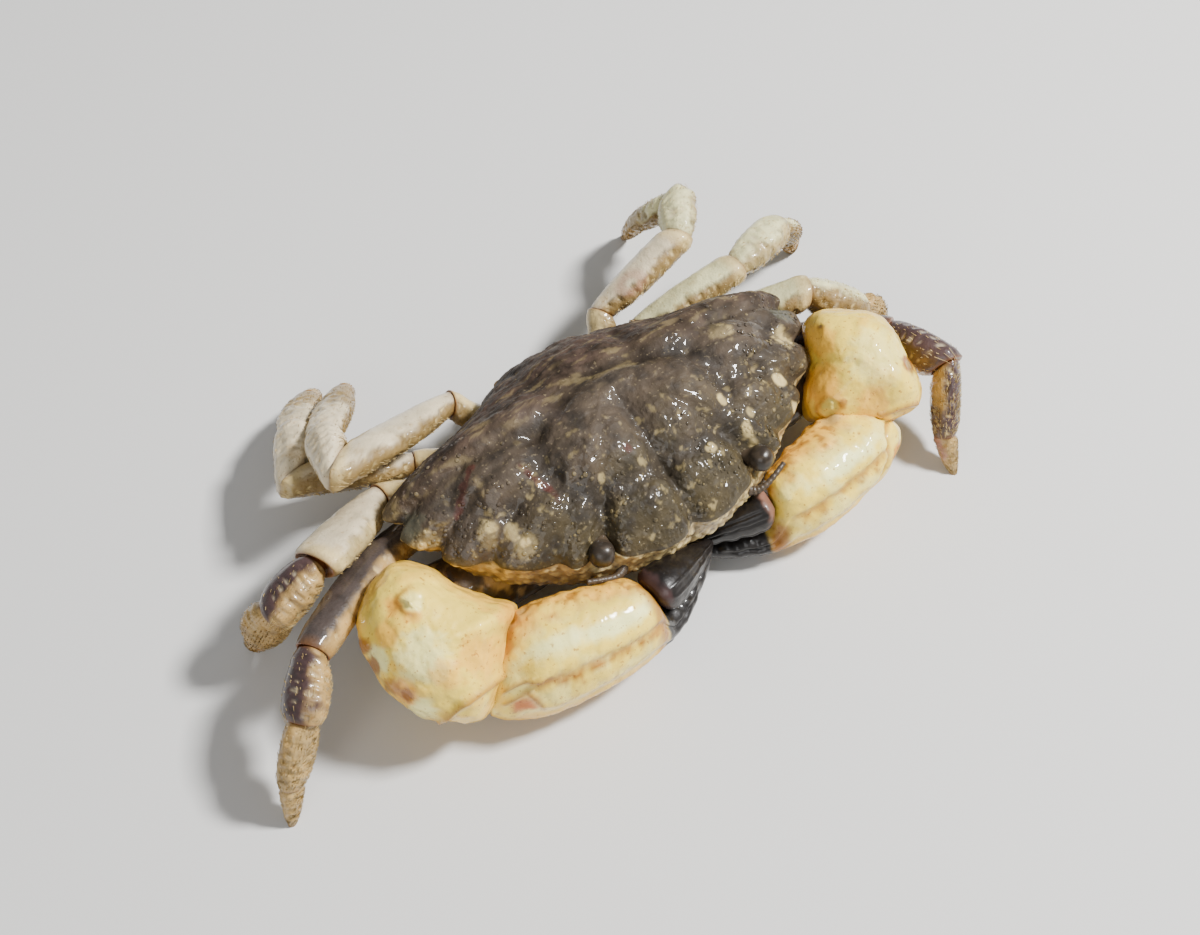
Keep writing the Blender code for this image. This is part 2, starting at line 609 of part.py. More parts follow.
def hand_rings(sections, sides, matrix, claw, inner, biting_edge):
    """Rings of a palm or finger. The palm's outer face has long grooves."""
    rings = []
    bend = math.radians(claw["turn"])
    for x, low, high, half in sections:
        by_wrist = max(0.0, min(1.0, (HEEL_END - x) / HEEL_FADE))
        low *= 1.0 - claw["heel_cut"] * by_wrist
        high *= 1.0 - claw["crown_cut"] * by_wrist
        wave = tooth_wave(x)
        low, high = (low, high + wave) if biting_edge == "upper" else (low + wave, high)
        centre, reach = (low + high) / 2, (high - low) / 2
        ring = []
        for n in range(sides):
            angle = 2.0 * math.pi * n / sides
            across = -inner * half * power(math.cos(angle), 0.85)
            up = power(math.sin(angle), 0.85)
            sink = 0.0
            if biting_edge == "upper" and math.cos(angle) > 0:
                fade = max(0.0, min(1.0, x / 2.5, (24.0 - x) / 4.0))
                for place, depth, width in PALM_GROOVES:
                    sink += fade * depth * math.exp(-(((up - place) / width) ** 2))
            point = Vector((x, across + inner * sink, centre + reach * up))
            ring.append(matrix @ (bend_hand(point, inner, bend) * claw["size"]))
        rings.append(ring)
    return rings


def wrist_axes():
    """Right, up and outward axes of the view in which the claws' wrists are drawn."""
    turn, rise = math.radians(WRIST_TURN), math.radians(WRIST_RISE)
    right = Vector((math.cos(turn), math.sin(turn), 0.0))
    outward = Vector((math.sin(turn) * math.cos(rise), -math.cos(turn) * math.cos(rise), math.sin(rise)))
    return right, outward.cross(right), outward


def build_wrist(side_name):
    """A rounded block: its outline comes from a table, and its depth swells evenly to the middle."""
    claw, outline = CLAWS[side_name], WRIST_OUTLINES[side_name]
    right, up, outward = wrist_axes()
    first, last = outline[0], outline[-1]
    table = ((last[0] - 360, last[1]),) + outline + ((first[0] + 360, first[1]),)
    rings = []
    for row in range(1, WRIST_ROWS):
        tilt = math.pi * row / WRIST_ROWS
        ring = []
        for column in range(WRIST_COLUMNS):
            angle = -math.pi + 2.0 * math.pi * column / WRIST_COLUMNS
            half = smooth_table(math.degrees(angle), table)[0]
            reach = power(math.sin(tilt), WRIST_SQUARENESS) * half
            x, y = math.cos(angle) * reach, math.sin(angle) * reach
            depth = power(math.cos(tilt), WRIST_SQUARENESS) * claw["carpus_depth"]
            if depth > 0:
                depth += sum(height * math.exp(-(((x - bx) ** 2 + (y - by) ** 2) / spread ** 2))
                             for bx, by, spread, height in WRIST_BUMPS[side_name])
            ring.append(Vector(claw["carpus"]) + right * x + up * y + outward * depth)
        rings.append(ring)
    return skin_rings(rings)


def build_claw(side_name, shell, horn, collection):
    claw = CLAWS[side_name]
    size = claw["size"]
    hip, arm, elbow = (Vector(claw[key]) for key in ("hip", "arm", "elbow"))
    wrist, palm_end = Vector(claw["wrist"]), Vector(claw["palm_end"])
    normals = joint_normals([hip, arm, elbow])
    half_gap = JOINT_GAP / 2
    rings = article_rings(hip, arm, Vector((0, 0, 1)), CLAW_COXA, size, normals[0:2], (0.0, half_gap))
    made = {"coxa": add_object(f"claw_{side_name}_coxa", skin_rings(rings), shell, collection)}
    rings = article_rings(arm, elbow, Vector((0, 0, 1)), CLAW_MERUS, size, normals[1:3], (half_gap, 0.0))
    made["merus"] = add_object(f"claw_{side_name}_merus", skin_rings(rings), shell, collection)

    made["carpus"] = add_object(f"claw_{side_name}_carpus", build_wrist(side_name), shell, collection)

    matrix = frame_of(wrist, palm_end - wrist, Vector(claw["palm_up"]))
    inner = 1.0 if (matrix.to_3x3() @ Vector((0, 1, 0))).y > 0 else -1.0
    rings = hand_rings(HAND_SECTIONS, PALM_SIDES, matrix, claw, inner, "upper")
    made["palm"] = add_object(f"claw_{side_name}_palm", skin_rings(rings), shell, collection)
    rings = hand_rings(FINGER_SECTIONS, FINGER_SIDES, matrix, claw, inner, "lower")
    made["finger"] = add_object(f"claw_{side_name}_finger", skin_rings(rings), horn, collection)
    return made


def build_thorax(material, collection):
    """The breastplate: flat above and gently rounded below."""
    bm = bmesh.new()
    bmesh.ops.create_uvsphere(bm, u_segments=24, v_segments=9, radius=1.0)
    top = UNDERSIDE - 1.1 * JOINT_GAP
    for vert in bm.verts:
        x, y, z = vert.co
        plan_x = power(x, 0.8) * THORAX_HALF[0]
        plan_y = power(y, 0.8) * THORAX_HALF[1] + THORAX_BACK
        reach = top - THORAX_MIDDLE if z >= 0 else THORAX_MIDDLE - BELLY
        vert.co = (plan_x, plan_y, THORAX_MIDDLE + reach * power(z, 0.5))
    return add_object("thorax", bm, material, collection)


def build_along(name, start, end, up, sections, material, collection):
    """A piece of the head with sections along a straight line."""
    way = (end - start).normalized()
    rings = article_rings(start, end, up, sections, 1.0, (way, way), (0.0, 0.0))
    return add_object(name, skin_rings(rings), material, collection)


def build_eye(side_name, material, collection):
    start, end = mirrored(EYE_START, side_name), mirrored(EYE_END, side_name)
    return build_along(f"eye_{side_name}", start, end, Vector((0, 0, 1)), EYE_SECTIONS, material, collection)


def build_maxilliped(side_name, material, collection):
    """One of the two doors that close over the mouth, in two plates with a groove between."""
    start, end = mirrored(DOOR_START, side_name), mirrored(DOOR_END, side_name)
    up = Vector((0, -1, -1))
    return build_along(f"maxilliped_{side_name}", start, end, up, DOOR_SECTIONS, material, collection)


def ways_along(places):
    """Direction of a bent line at each of its places."""
    ends = zip(places[:1] + places[:-1], places[1:] + places[-1:])
    return [(after - before).normalized() for before, after in ends]


def build_antenna(side_name, material, collection):
    """A stout base and a short tapering whip."""
    places = [mirrored(row[:3], side_name) for row in FEELER_ROUTE]
    rings = []
    for place, way, row in zip(places, ways_along(places), FEELER_ROUTE):
        side = way.cross(Vector((0, 0, 1))).normalized()
        up, radius = side.cross(way), row[3]
        rings.append(section_points(place, side, up, radius, radius, radius, FEELER_SIDES, 1.0, 1.0))
    return add_object(f"antenna_{side_name}", skin_rings(rings), material, collection)


def build_abdomen(material, collection):
    """The narrow tail flap, folded forward under the body from the back edge."""
    places = [Vector((0.0, y, z)) for y, z, half in FLAP_ROUTE]
    side, thick = Vector((1, 0, 0)), FLAP_THICKNESS / 2
    rings = []
    for place, way, row in zip(places, ways_along(places), FLAP_ROUTE):
        rings.append(section_points(place, side, way.cross(side), row[2], thick, thick, FLAP_SIDES, 1.0, 0.6))
    return add_object("abdomen", skin_rings(rings), material, collection)


def swollen_copy(obj, gap):
    """A copy grown by a gap along its normals, used only to cut."""
    copy = bpy.data.objects.new(obj.name + "_cutter", obj.data.copy())
    bpy.context.scene.collection.objects.link(copy)
    bm = bmesh.new()
    bm.from_mesh(copy.data)
    bm.normal_update()
    moves = [vert.normal * gap * MM for vert in bm.verts]
    for vert, move in zip(bm.verts, moves):
        vert.co += move
    bm.to_mesh(copy.data)
    bm.free()
    return copy


def keep_largest(obj):
    """Drops any loose scrap that a cut left."""
    bm = bmesh.new()
    bm.from_mesh(obj.data)
    bm.verts.ensure_lookup_table()
    seen, groups = set(), []
    for vert in bm.verts:
        if vert.index in seen:
            continue
        group, stack = [], [vert]
        seen.add(vert.index)
        while stack:
            current = stack.pop()
            group.append(current)
            for edge in current.link_edges:
                other = edge.other_vert(current)
                if other.index not in seen:
                    seen.add(other.index)
                    stack.append(other)
        groups.append(group)
    groups.sort(key=len)
    loose = [vert for group in groups[:-1] for vert in group]
    bmesh.ops.delete(bm, geom=loose, context="VERTS")
    bm.to_mesh(obj.data)
    bm.free()


def surface_of(obj):
    mesh = obj.data
    points = [vert.co for vert in mesh.vertices]
    return BVHTree.FromPolygons(points, [tuple(face.vertices) for face in mesh.polygons])


def carve(obj, others, gap=JOINT_GAP):
    """Cuts an object clear of those neighbours whose grown surface meets its own."""
    cutters = []
    for other in others:
        cutter = swollen_copy(other, gap)
        meets = surface_of(other if same_leg_chain(obj, other) else cutter)
        if surface_of(obj).overlap(meets):
            cutters.append(cutter)
        else:
            bpy.data.objects.remove(cutter, do_unlink=True)
    if not cutters:
        return
    for cutter in cutters:
        modifier = obj.modifiers.new("clear", "BOOLEAN")
        modifier.operation = "DIFFERENCE"
        modifier.object = cutter
        modifier.solver = "EXACT"
    graph = bpy.context.evaluated_depsgraph_get()
    mesh = bpy.data.meshes.new_from_object(obj.evaluated_get(graph))
    obj.modifiers.clear()
    obj.data = mesh
    for cutter in cutters:
        bpy.data.objects.remove(cutter, do_unlink=True)
    keep_largest(obj)


def main():
    clear_scene()
    collection = bpy.data.collections.new("furrowed crab")
    bpy.context.scene.collection.children.link(collection)
    shell = make_material("grey brown shell", (0.13, 0.11, 0.09), 0.35)
    cream = make_material("cream claw shell", (0.82, 0.62, 0.34), 0.25)
    horn = make_material("dark finger horn", (0.03, 0.018, 0.014), 0.2)
    leg_shell = make_material("pale leg shell", (0.55, 0.50, 0.42), 0.4)
    belly = make_material("pale belly shell", (0.62, 0.54, 0.42), 0.4)
    eye = make_material("dark eye", (0.02, 0.015, 0.012), 0.1)

    carapace = build_carapace(shell, collection)
    thorax = build_thorax(belly, collection)
    abdomen = build_abdomen(belly, collection)
    ordered = [carapace, thorax, abdomen]
    for side_name in ("right", "left"):
        ordered.append(build_eye(side_name, eye, collection))
        ordered.append(build_maxilliped(side_name, belly, collection))
        ordered.append(build_antenna(side_name, belly, collection))
        claw = build_claw(side_name, cream, horn, collection)
        ordered += [claw[key] for key in ("palm", "finger", "carpus", "merus", "coxa")]
    for name in LEGS:
        parts = build_leg(name, leg_shell, collection)
        ordered += [parts[k] for k in (4, 3, 2, 1, 0)]
    for k, obj in enumerate(ordered):
        carve(obj, ordered[:k])
    move_to_frame(ordered)


def same_leg_chain(a, b):
    """Articles of one walking leg already share their joint planes."""
    return a.name.startswith("leg") and a.name.rsplit("_", 1)[0] == b.name.rsplit("_", 1)[0]


def move_to_frame(objects):
    """Puts the middle of the footprint on the origin."""
    points = [vert.co for obj in objects for vert in obj.data.vertices]
    shift = Vector((
        -(min(p.x for p in points) + max(p.x for p in points)) / 2,
        -(min(p.y for p in points) + max(p.y for p in points)) / 2,
        0.0,
    ))
    for obj in objects:
        for vert in obj.data.vertices:
            vert.co += shift


main()
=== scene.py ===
"""Looks of the furrowed crab: fine shell, granules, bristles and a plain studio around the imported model.

Shapes are worked out in millimetres in the animal's own axes: +X is its left side, -Y its front, +Z up.
"""

import math
import random

import bmesh
import bpy
import numpy as np
from bpy.props import FloatProperty, FloatVectorProperty, IntProperty, PointerProperty
from bpy.types import Operator, Panel, PropertyGroup
from mathutils import Matrix, Vector, noise


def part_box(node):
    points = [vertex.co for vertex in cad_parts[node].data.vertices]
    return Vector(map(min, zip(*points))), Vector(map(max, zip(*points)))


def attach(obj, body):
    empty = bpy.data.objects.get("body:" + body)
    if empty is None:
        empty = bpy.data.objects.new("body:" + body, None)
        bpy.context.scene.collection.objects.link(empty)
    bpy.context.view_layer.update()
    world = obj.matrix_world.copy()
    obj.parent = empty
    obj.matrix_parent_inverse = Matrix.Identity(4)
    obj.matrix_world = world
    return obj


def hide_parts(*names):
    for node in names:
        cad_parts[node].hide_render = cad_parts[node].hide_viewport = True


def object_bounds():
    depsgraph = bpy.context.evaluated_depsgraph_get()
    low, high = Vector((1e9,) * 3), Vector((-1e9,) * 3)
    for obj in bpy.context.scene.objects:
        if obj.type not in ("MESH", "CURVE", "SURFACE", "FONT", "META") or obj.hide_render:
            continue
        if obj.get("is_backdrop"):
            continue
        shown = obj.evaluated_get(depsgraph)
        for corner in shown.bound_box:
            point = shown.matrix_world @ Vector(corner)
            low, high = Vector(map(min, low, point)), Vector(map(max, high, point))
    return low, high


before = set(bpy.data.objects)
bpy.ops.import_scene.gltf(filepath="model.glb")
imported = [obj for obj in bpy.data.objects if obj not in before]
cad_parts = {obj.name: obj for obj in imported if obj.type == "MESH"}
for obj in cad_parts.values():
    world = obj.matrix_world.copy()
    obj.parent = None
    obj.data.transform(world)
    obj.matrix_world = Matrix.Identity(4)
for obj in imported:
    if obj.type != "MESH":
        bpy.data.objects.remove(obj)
CAD_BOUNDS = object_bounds()

bl_info = {
    "name": "Furrowed Crab Model",
    "version": (1, 0, 0),
    "blender": (4, 5, 0),
    "location": "View3D > Sidebar > Crab",
    "description": "Builds the fine shell, granules and bristles of a life-size furrowed crab",
    "category": "Object",
}

MM = 0.001
SIDES = ("right", "left")
LEG_ARTICLES = ("coxa", "merus", "carpus", "propodus", "dactyl")

# Driving dimensions of the shell
CARAPACE_TOP = 20.4
MARGIN_FRONT = 13.2
MARGIN_SIDE = 14.0
MARGIN_BACK = 7.4
UNDERSIDE = 8.0
BELLY = 3.0
BACK_END = 11.9
# Place in the shell, seen from above, from which its outline is measured
SHELL_CENTRE = np.array((0.0, -2.0, 0.0))
# The middle of the shell's inside, from which the underside's granules stand out
SHELL_MIDDLE = np.array((0.0, -2.0, 9.0))
# How square the dome is in front, what the sides add to it and what the back adds
DOME_FULLNESS = 2.2
SIDE_FULLNESS = 0.6
BACK_FULLNESS = -0.5
# Cosine of the bearing where the steep face under the front is whole, and where it has ended
FACE_START = 0.5
FACE_END = 0.0
# How the mesh of the shell is crowded towards the margin, above and below, and towards the front
TOP_CROWDING = 0.92
UNDER_CROWDING = 0.8
FRONT_CROWDING = 0.22

# Half outline of the carapace seen from above, from the middle of the front to the middle of the back
HALF_OUTLINE = (
    (0.0, -18.8), (3.6, -19.1), (7.2, -18.3), (12.6, -16.2), (17.4, -13.0), (22.4, -8.8), (25.0, -4.0),
    (25.2, 0.4), (23.4, 2.4), (20.2, 3.7), (16.2, 5.0), (12.8, 6.5), (9.8, 8.3), (7.2, 10.2), (4.4, 11.6),
    (0.0, BACK_END),
)
# Notches of the margin: place, depth and half width
MARGIN_NOTCHES = (
    ((0.0, -18.8), 0.5, 0.8), ((10.4, -17.3), 2.2, 1.5), ((14.6, -15.0), 0.5, 0.8),
    ((20.6, -10.8), 0.8, 0.9), ((24.4, -6.4), 0.9, 0.9), ((25.4, -1.6), 0.8, 0.8),
)
# Lobes that stand proud of the margin: place, height and half width
MARGIN_LOBES = (
    ((3.2, -19.0), 0.3, 2.0), ((12.8, -16.2), 0.3, 1.0), ((18.0, -13.2), 0.5, 2.0),
    ((23.0, -8.8), 0.6, 1.9), ((25.4, -4.0), 0.7, 1.8), ((25.2, 0.5), 0.7, 1.5),
)
# Swollen regions of the back: centre, half sizes and height
REGIONS = (
    ((5.7, -8.4), (4.4, 4.2), 1.5), ((0.0, -3.4), (3.4, 2.4), 0.5), ((3.0, -15.8), (2.4, 1.8), 0.4),
    ((7.6, -14.6), (2.0, 1.8), 0.3), ((13.2, -11.4), (2.5, 2.2), 0.6), ((15.8, -5.8), (3.4, 3.0), 1.1),
    ((18.2, -9.9), (2.2, 2.0), 0.5), ((22.2, -5.8), (2.0, 2.2), 0.4), ((22.2, -0.8), (2.8, 2.0), 0.5),
    ((16.2, 1.0), (4.4, 2.4), 0.5), ((9.4, -0.2), (3.2, 2.4), 0.35), ((0.0, 4.8), (4.2, 3.0), 0.4),
    ((9.0, 5.4), (4.6, 2.6), 0.25),
)
# Furrows of the back: route, depth and half width
FURROWS = (
    (((0.0, -18.8), (0.0, -13.4)), 0.4, 1.1), (((0.0, -13.4), (0.0, -5.8)), 0.6, 1.2),
    (((0.0, -13.0), (4.0, -13.2), (8.0, -12.4), (10.6, -10.2), (11.0, -7.0), (9.6, -3.8), (5.0, -1.6),
      (0.0, -0.4)), 0.65, 1.3),
    (((8.2, -12.6), (10.4, -17.3)), 0.45, 1.1),
    (((10.8, -8.8), (14.4, -9.0), (17.6, -7.8), (20.2, -4.4)), 0.5, 1.2),
    (((15.6, -8.8), (16.6, -11.0), (20.6, -10.8)), 0.45, 1.0), (((18.8, -7.6), (24.4, -6.4)), 0.45, 1.0),
    (((9.8, -3.6), (13.4, -2.4), (17.0, -2.0), (20.4, -3.8), (25.4, -1.6)), 0.5, 1.2),
    (((5.0, -1.6), (5.8, 2.6), (4.6, 7.4), (6.4, 11.4)), 0.4, 1.3),
    (((5.8, 2.6), (11.0, 2.8), (18.0, 3.2)), 0.3, 1.3), (((0.0, 8.4), (4.6, 7.6)), 0.25, 1.2),
)
# The underside towards the front, from the middle out: share of the way, share of the distance to the margin
# without its lobes and notches, height
FACE_PROFILE = (
    (0.0, 0.0, UNDERSIDE), (0.7, 0.78, UNDERSIDE), (0.818, 0.9, 8.2), (0.864, 0.945, 8.7), (0.91, 0.97, 10.0),
    (0.955, 0.98, 11.6),
)
# Coloured places of the back: place, half size, palette name and strength
SHELL_SPOTS = (
    ((-18.9, -8.9), 1.2, "pale", 0.7), ((-16.6, -12.0), 1.1, "pale", 0.8), ((-17.0, -10.3), 0.8, "pale", 0.5),
    ((-24.8, -5.8), 1.6, "pale", 0.9), ((-25.3, 0.6), 1.5, "pale", 0.6), ((14.3, -3.6), 1.3, "pale", 0.7),
    ((21.4, -6.3), 1.4, "pale", 0.9), ((17.4, -10.6), 0.8, "pale", 1.0), ((17.6, -13.4), 0.6, "pale", 1.0),
    ((11.6, -12.7), 0.5, "pale", 0.8), ((5.4, -14.1), 0.6, "pale", 0.8), ((9.4, -10.5), 0.5, "pale", 0.8),
    ((-2.8, -10.6), 0.45, "rust", 0.7), ((-12.2, -8.3), 0.4, "ochre", 0.6), ((-6.6, -11.4), 0.4, "pale", 0.5),
    ((-24.9, -3.0), 1.6, "green", 0.35), ((23.6, -3.3), 1.4, "green", 0.35),
    ((10.2, -14.0), 0.6, "pale", 0.7),
)
# A pale place of a larger half size than this is broken up into knobs
WHOLE_SPOT = 1.0
# Narrow stains: start, end, half width, palette name and strength
SHELL_STREAKS = (
    ((-16.8, -2.7), (-20.4, -5.4), 0.45, "rust", 0.95), ((-13.0, -6.1), (-11.8, -9.0), 0.5, "rust", 0.95),
    ((-11.8, -9.0), (-11.6, -10.8), 0.4, "rust", 0.5), ((-4.8, 0.8), (-0.6, -1.0), 0.4, "pale", 0.35),
    ((-0.6, -1.0), (3.9, -2.3), 0.4, "pale", 0.3), ((10.4, -13.6), (10.4, -16.0), 0.35, "pale", 0.6),
)

# Distance back over which the wet shell turns dry
DRY_BAND = (-5.0, 2.0)
# How the noise is stretched for the streaks and the cross wrinkles behind
BACK_STREAK_WAY = np.array((0.3, 1.0, 1.0))
WRINKLE_WAY = np.array((0.35, 1.6, 1.0))

# Granules of the back: seed, where they may lie, range of sizes against the set one, and how flat they are
GRANULE_SEED = 41
GRANULE_SPAN_X = (-25.5, 25.5)
GRANULE_SPAN_Y = (-19.2, 4.0)
GRANULE_SIZES = (0.6, 1.5)
GRANULE_FLATNESS = 0.34
# They keep off the outermost rim and the furrows deeper than this, and few of them lie behind the front
GRANULE_RIM = 0.985
GRANULE_FURROW = 0.7
GRANULE_FRONT = -4.0
GRANULES_BEHIND = 0.35
# Distance over which the slope of the back is taken
SLOPE_STEP = 0.2

# Smooth unevenness: size of its bumps in mm, and seed
LUMPS = {
    "back cloud": (5.0, 3), "back fleck": (1.1, 9), "back streak": (0.9, 19), "back grime": (2.2, 17),
    "back swell": (2.6, 1), "back grain": (0.8, 2), "back wrinkle": (1.1, 5), "dry edge": (4.0, 25),
    "face swell": (1.2, 6), "face grime": (0.9, 23), "granule tone": (2.0, 45),
    "leg cloud": (2.0, 0), "leg skin": (0.7, 60), "leg gold": (1.5, 30), "leg edge": (0.9, 31),
    "leg blotch": (1.4, 90), "arm cloud": (2.0, 30),
    "wrist cloud": (3.5, 50), "wrist skin": (1.2, 51), "wrist rag": (1.0, 52), "crust rim": (1.2, 53),
    "crust": (0.8, 54),
    "palm cloud": (2.5, 70), "palm skin": (1.0, 71), "palm rag": (1.3, 76), "palm row": (0.8, 77),
    "crown stain": (1.1, 75), "finger skin": (1.1, 80), "finger base": (1.5, 81),
    "thorax skin": (1.5, 90), "abdomen tone": (1.6, 91), "abdomen skin": (1.0, 92),
    "door tone": (1.2, 93), "door skin": (0.8, 94), "cornea": (0.7, 97), "eye edge": (0.5, 95),
}
# Rounded granules, in the same measure
CELLS = {
    "back knobs": (1.3, 22), "back pebbles": (1.3, 4), "back grit": (0.6, 14), "face knobs": (1.0, 8),
    "leg grains": (0.95, 0), "palm knobs": (1.7, 72), "abdomen grains": (0.9, 99), "eye facets": (0.14, 96),
}
# Finishes: material name, mottling, strength and colour of the specks and how they are laid on, range of
# roughness, coat and its roughness, layers of bump as size in mm and weight, and height of the bump in mm
FINISHES = {
    "back": (
        "wet grey brown shell", 0.45, 0.35, (0.27, 0.21, 0.12), "MIX", (0.55, 0.8), 0.7, 0.05,
        ((0.9, 1.0), (0.35, 0.4), (0.14, 0.2)), 0.14,
    ),
    "claw": (
        "polished ivory shell", 0.14, 0.7, (0.45, 0.24, 0.1), "MULTIPLY", (0.4, 0.6), 0.75, 0.05,
        ((2.2, 1.0), (0.5, 0.25)), 0.2,
    ),
    "horn": (
        "dark finger horn", 0.35, 0.1, (0.05, 0.03, 0.02), "MIX", (0.35, 0.5), 0.35, 0.15,
        ((0.8, 0.6), (0.2, 0.3)), 0.05,
    ),
    "leg": (
        "pale leg shell", 0.2, 0.5, (0.5, 0.35, 0.2), "MULTIPLY", (0.4, 0.6), 0.85, 0.08,
        ((0.8, 0.8), (0.25, 0.6)), 0.12,
    ),
    "belly": (
        "pale belly shell", 0.2, 0.3, (0.35, 0.22, 0.1), "MIX", (0.35, 0.55), 0.25, 0.2,
        ((1.2, 0.8), (0.3, 0.4)), 0.08,
    ),
    "eye": ("wet dark eye", 0.3, 0.2, (0.04, 0.02, 0.02), "MIX", (0.3, 0.4), 0.35, 0.2, ((0.12, 1.0),), 0.01),
    "bristle": (
        "amber bristle", 0.3, 0.2, (0.2, 0.11, 0.04), "MIX", (0.35, 0.55), 0.2, 0.2, ((0.1, 1.0),), 0.01,
    ),
}
# Small separate dots of a finish: spacing in mm, and half width as a share of it
DOT_SPACING = 0.8
DOT_WIDTH = 0.16
WATER_IOR = 1.33

# Joint points of the walking legs: hip, merus start, knee, carpus end, propodus end, tip
LEGS = {
    "leg1_right": (
        (-10.4, -3.6, 5.6), (-19.6, 1.2, 7.4), (-39.7, -8.8, 13.0),
        (-43.8, -13.4, 10.5), (-47.4, -15.8, 4.8), (-48.9, -17.2, 0.0),
    ),
    "leg2_right": (
        (-10.6, 1.0, 5.6), (-23.6, 6.0, 8.4), (-34.5, -0.1, 13.0),
        (-39.9, -1.1, 10.5), (-41.9, 0.6, 4.8), (-42.4, 3.4, 0.0),
    ),
    "leg3_right": (
        (-10.0, 5.0, 5.6), (-17.4, 9.4, 5.8), (-30.0, 13.4, 8.6),
        (-26.6, 19.0, 8.4), (-22.2, 25.0, 4.4), (-19.6, 28.4, 0.0),
    ),
    "leg4_right": (
        (-7.4, 7.8, 6.0), (-10.8, 12.0, 9.0), (-27.0, 8.1, 14.0),
        (-25.6, 13.6, 12.6), (-19.2, 21.6, 7.0), (-16.4, 26.4, 0.0),
    ),
    "leg1_left": (
        (10.4, -3.6, 5.6), (19.6, 0.0, 6.8), (36.4, -8.2, 8.2),
        (37.6, -16.2, 9.5), (34.5, -20.8, 3.9), (34.2, -23.4, 0.0),
    ),
    "leg2_left": (
        (10.6, 1.0, 5.6), (19.4, 5.2, 7.6), (30.1, -0.1, 12.0),
        (36.0, -2.7, 7.4), (39.4, -3.0, 3.7), (41.2, -4.4, 0.0),
    ),
    "leg3_left": (
        (10.0, 5.0, 5.6), (13.8, 9.2, 8.0), (25.9, 7.6, 12.0),
        (33.4, 9.9, 11.5), (38.2, 12.4, 5.2), (40.4, 13.6, 0.0),
    ),
    "leg4_left": (
        (7.4, 7.8, 6.0), (10.8, 13.2, 8.6), (22.6, 14.5, 13.0),
        (25.9, 19.2, 13.0), (24.0, 24.0, 6.4), (24.6, 27.6, 0.0),
    ),
}
# How far the middle of a leg's arm bows off the straight line, and how thick each pair of legs is
MERUS_BOWS = {"leg1_right": (0.5, 1.6, 0.2), "leg1_left": (0.2, 1.4, 0.0)}
LEG_SCALE = {"leg1": 1.05, "leg2": 1.08, "leg3": 1.0, "leg4": 0.97}
STRAIGHT = (0.0, 0.0, 0.0)
# Way in which the crest of a leg points, and that from this article on, with +X as the leg's own side
LEG_CREST = (0.0, -0.8, 0.6)
FOOT_START = LEG_ARTICLES.index("propodus")
FOOT_CRESTS = {
    "leg1": (0.0, 0.0, 1.0), "leg2": (0.0, 0.0, 1.0), "leg3": (1.0, -0.6, 0.5), "leg4": (1.0, -0.6, 0.5),
}
# How much deeper a leg's arm grows towards its knee
MERUS_FLARES = {"leg1_right": 0.8, "leg2_right": 1.45, "leg3_right": 1.2, "leg4_right": 1.3}
# A knee bent by more than this many degrees is blunted this far from its joint, and keeps this share beyond
SHARP_BEND = 65.0
KNEE_LIMIT = 2.0
KNEE_KEPT = 0.2
# Cross sections along each article: share of its length, height of the crest side and of the lower side, and
# half thickness
LEG_SECTIONS = {
    "coxa": (
        (0.0, 1.9, 1.9, 1.8), (0.3, 2.1, 2.1, 1.9), (0.62, 1.7, 1.7, 1.6), (0.85, 1.9, 1.9, 1.7),
        (1.0, 1.6, 1.6, 1.5),
    ),
    "merus": (
        (0.0, 1.4, 1.4, 1.3), (0.1, 1.8, 1.8, 1.5), (0.25, 2.5, 2.1, 1.7), (0.45, 2.8, 2.3, 1.8),
        (0.65, 2.8, 2.3, 1.9), (0.82, 2.7, 2.2, 1.9), (0.94, 2.5, 2.1, 1.9), (1.0, 2.1, 1.9, 1.7),
    ),
    "carpus": (
        (0.0, 1.6, 1.6, 1.4), (0.15, 2.2, 1.8, 1.8), (0.4, 2.8, 2.1, 2.1), (0.65, 2.9, 2.2, 2.2),
        (0.88, 2.7, 2.1, 2.1), (1.0, 2.1, 1.8, 1.8),
    ),
    "propodus": (
        (0.0, 1.7, 1.6, 1.3), (0.15, 2.3, 2.0, 1.5), (0.45, 2.6, 2.2, 1.6), (0.8, 2.2, 1.9, 1.5),
        (1.0, 1.6, 1.5, 1.2),
    ),
    "dactyl": (
        (0.0, 1.3, 1.3, 1.1), (0.15, 1.4, 1.35, 1.15), (0.45, 1.2, 1.1, 1.0), (0.75, 0.85, 0.8, 0.75),
        (0.93, 0.55, 0.5, 0.5), (1.0, 0.45, 0.45, 0.45),
    ),
}
# Share of an article's length over which its rings turn into the plane of the joint
LEAN_REACH = 0.42
# Half of the gap between two articles of a leg, and of a claw
LEG_GAP = 0.1
ARM_GAP = 0.15
# Under 1 the cross section of a limb is fuller than an ellipse
LIMB_SQUARENESS = 0.85
# Rings that close a joint, before and after an article: size against its end ring, and how far out
NECK_RINGS = ((0.5, 0.8), (0.74, 0.6), (0.8, 0.12))
SOCKET_RINGS = ((0.93, 0.1), (0.84, -0.05), (0.6, -0.5))
# Ridges of knobs on a leg's wrist and hand: turn from the crest in radians, half width, and knobs along each
LEG_RIDGES = (0.5, -0.9, 2.2, -0.2, 1.2)
RIDGE_WIDTH = 0.16
LEG_BEADS = 7.0
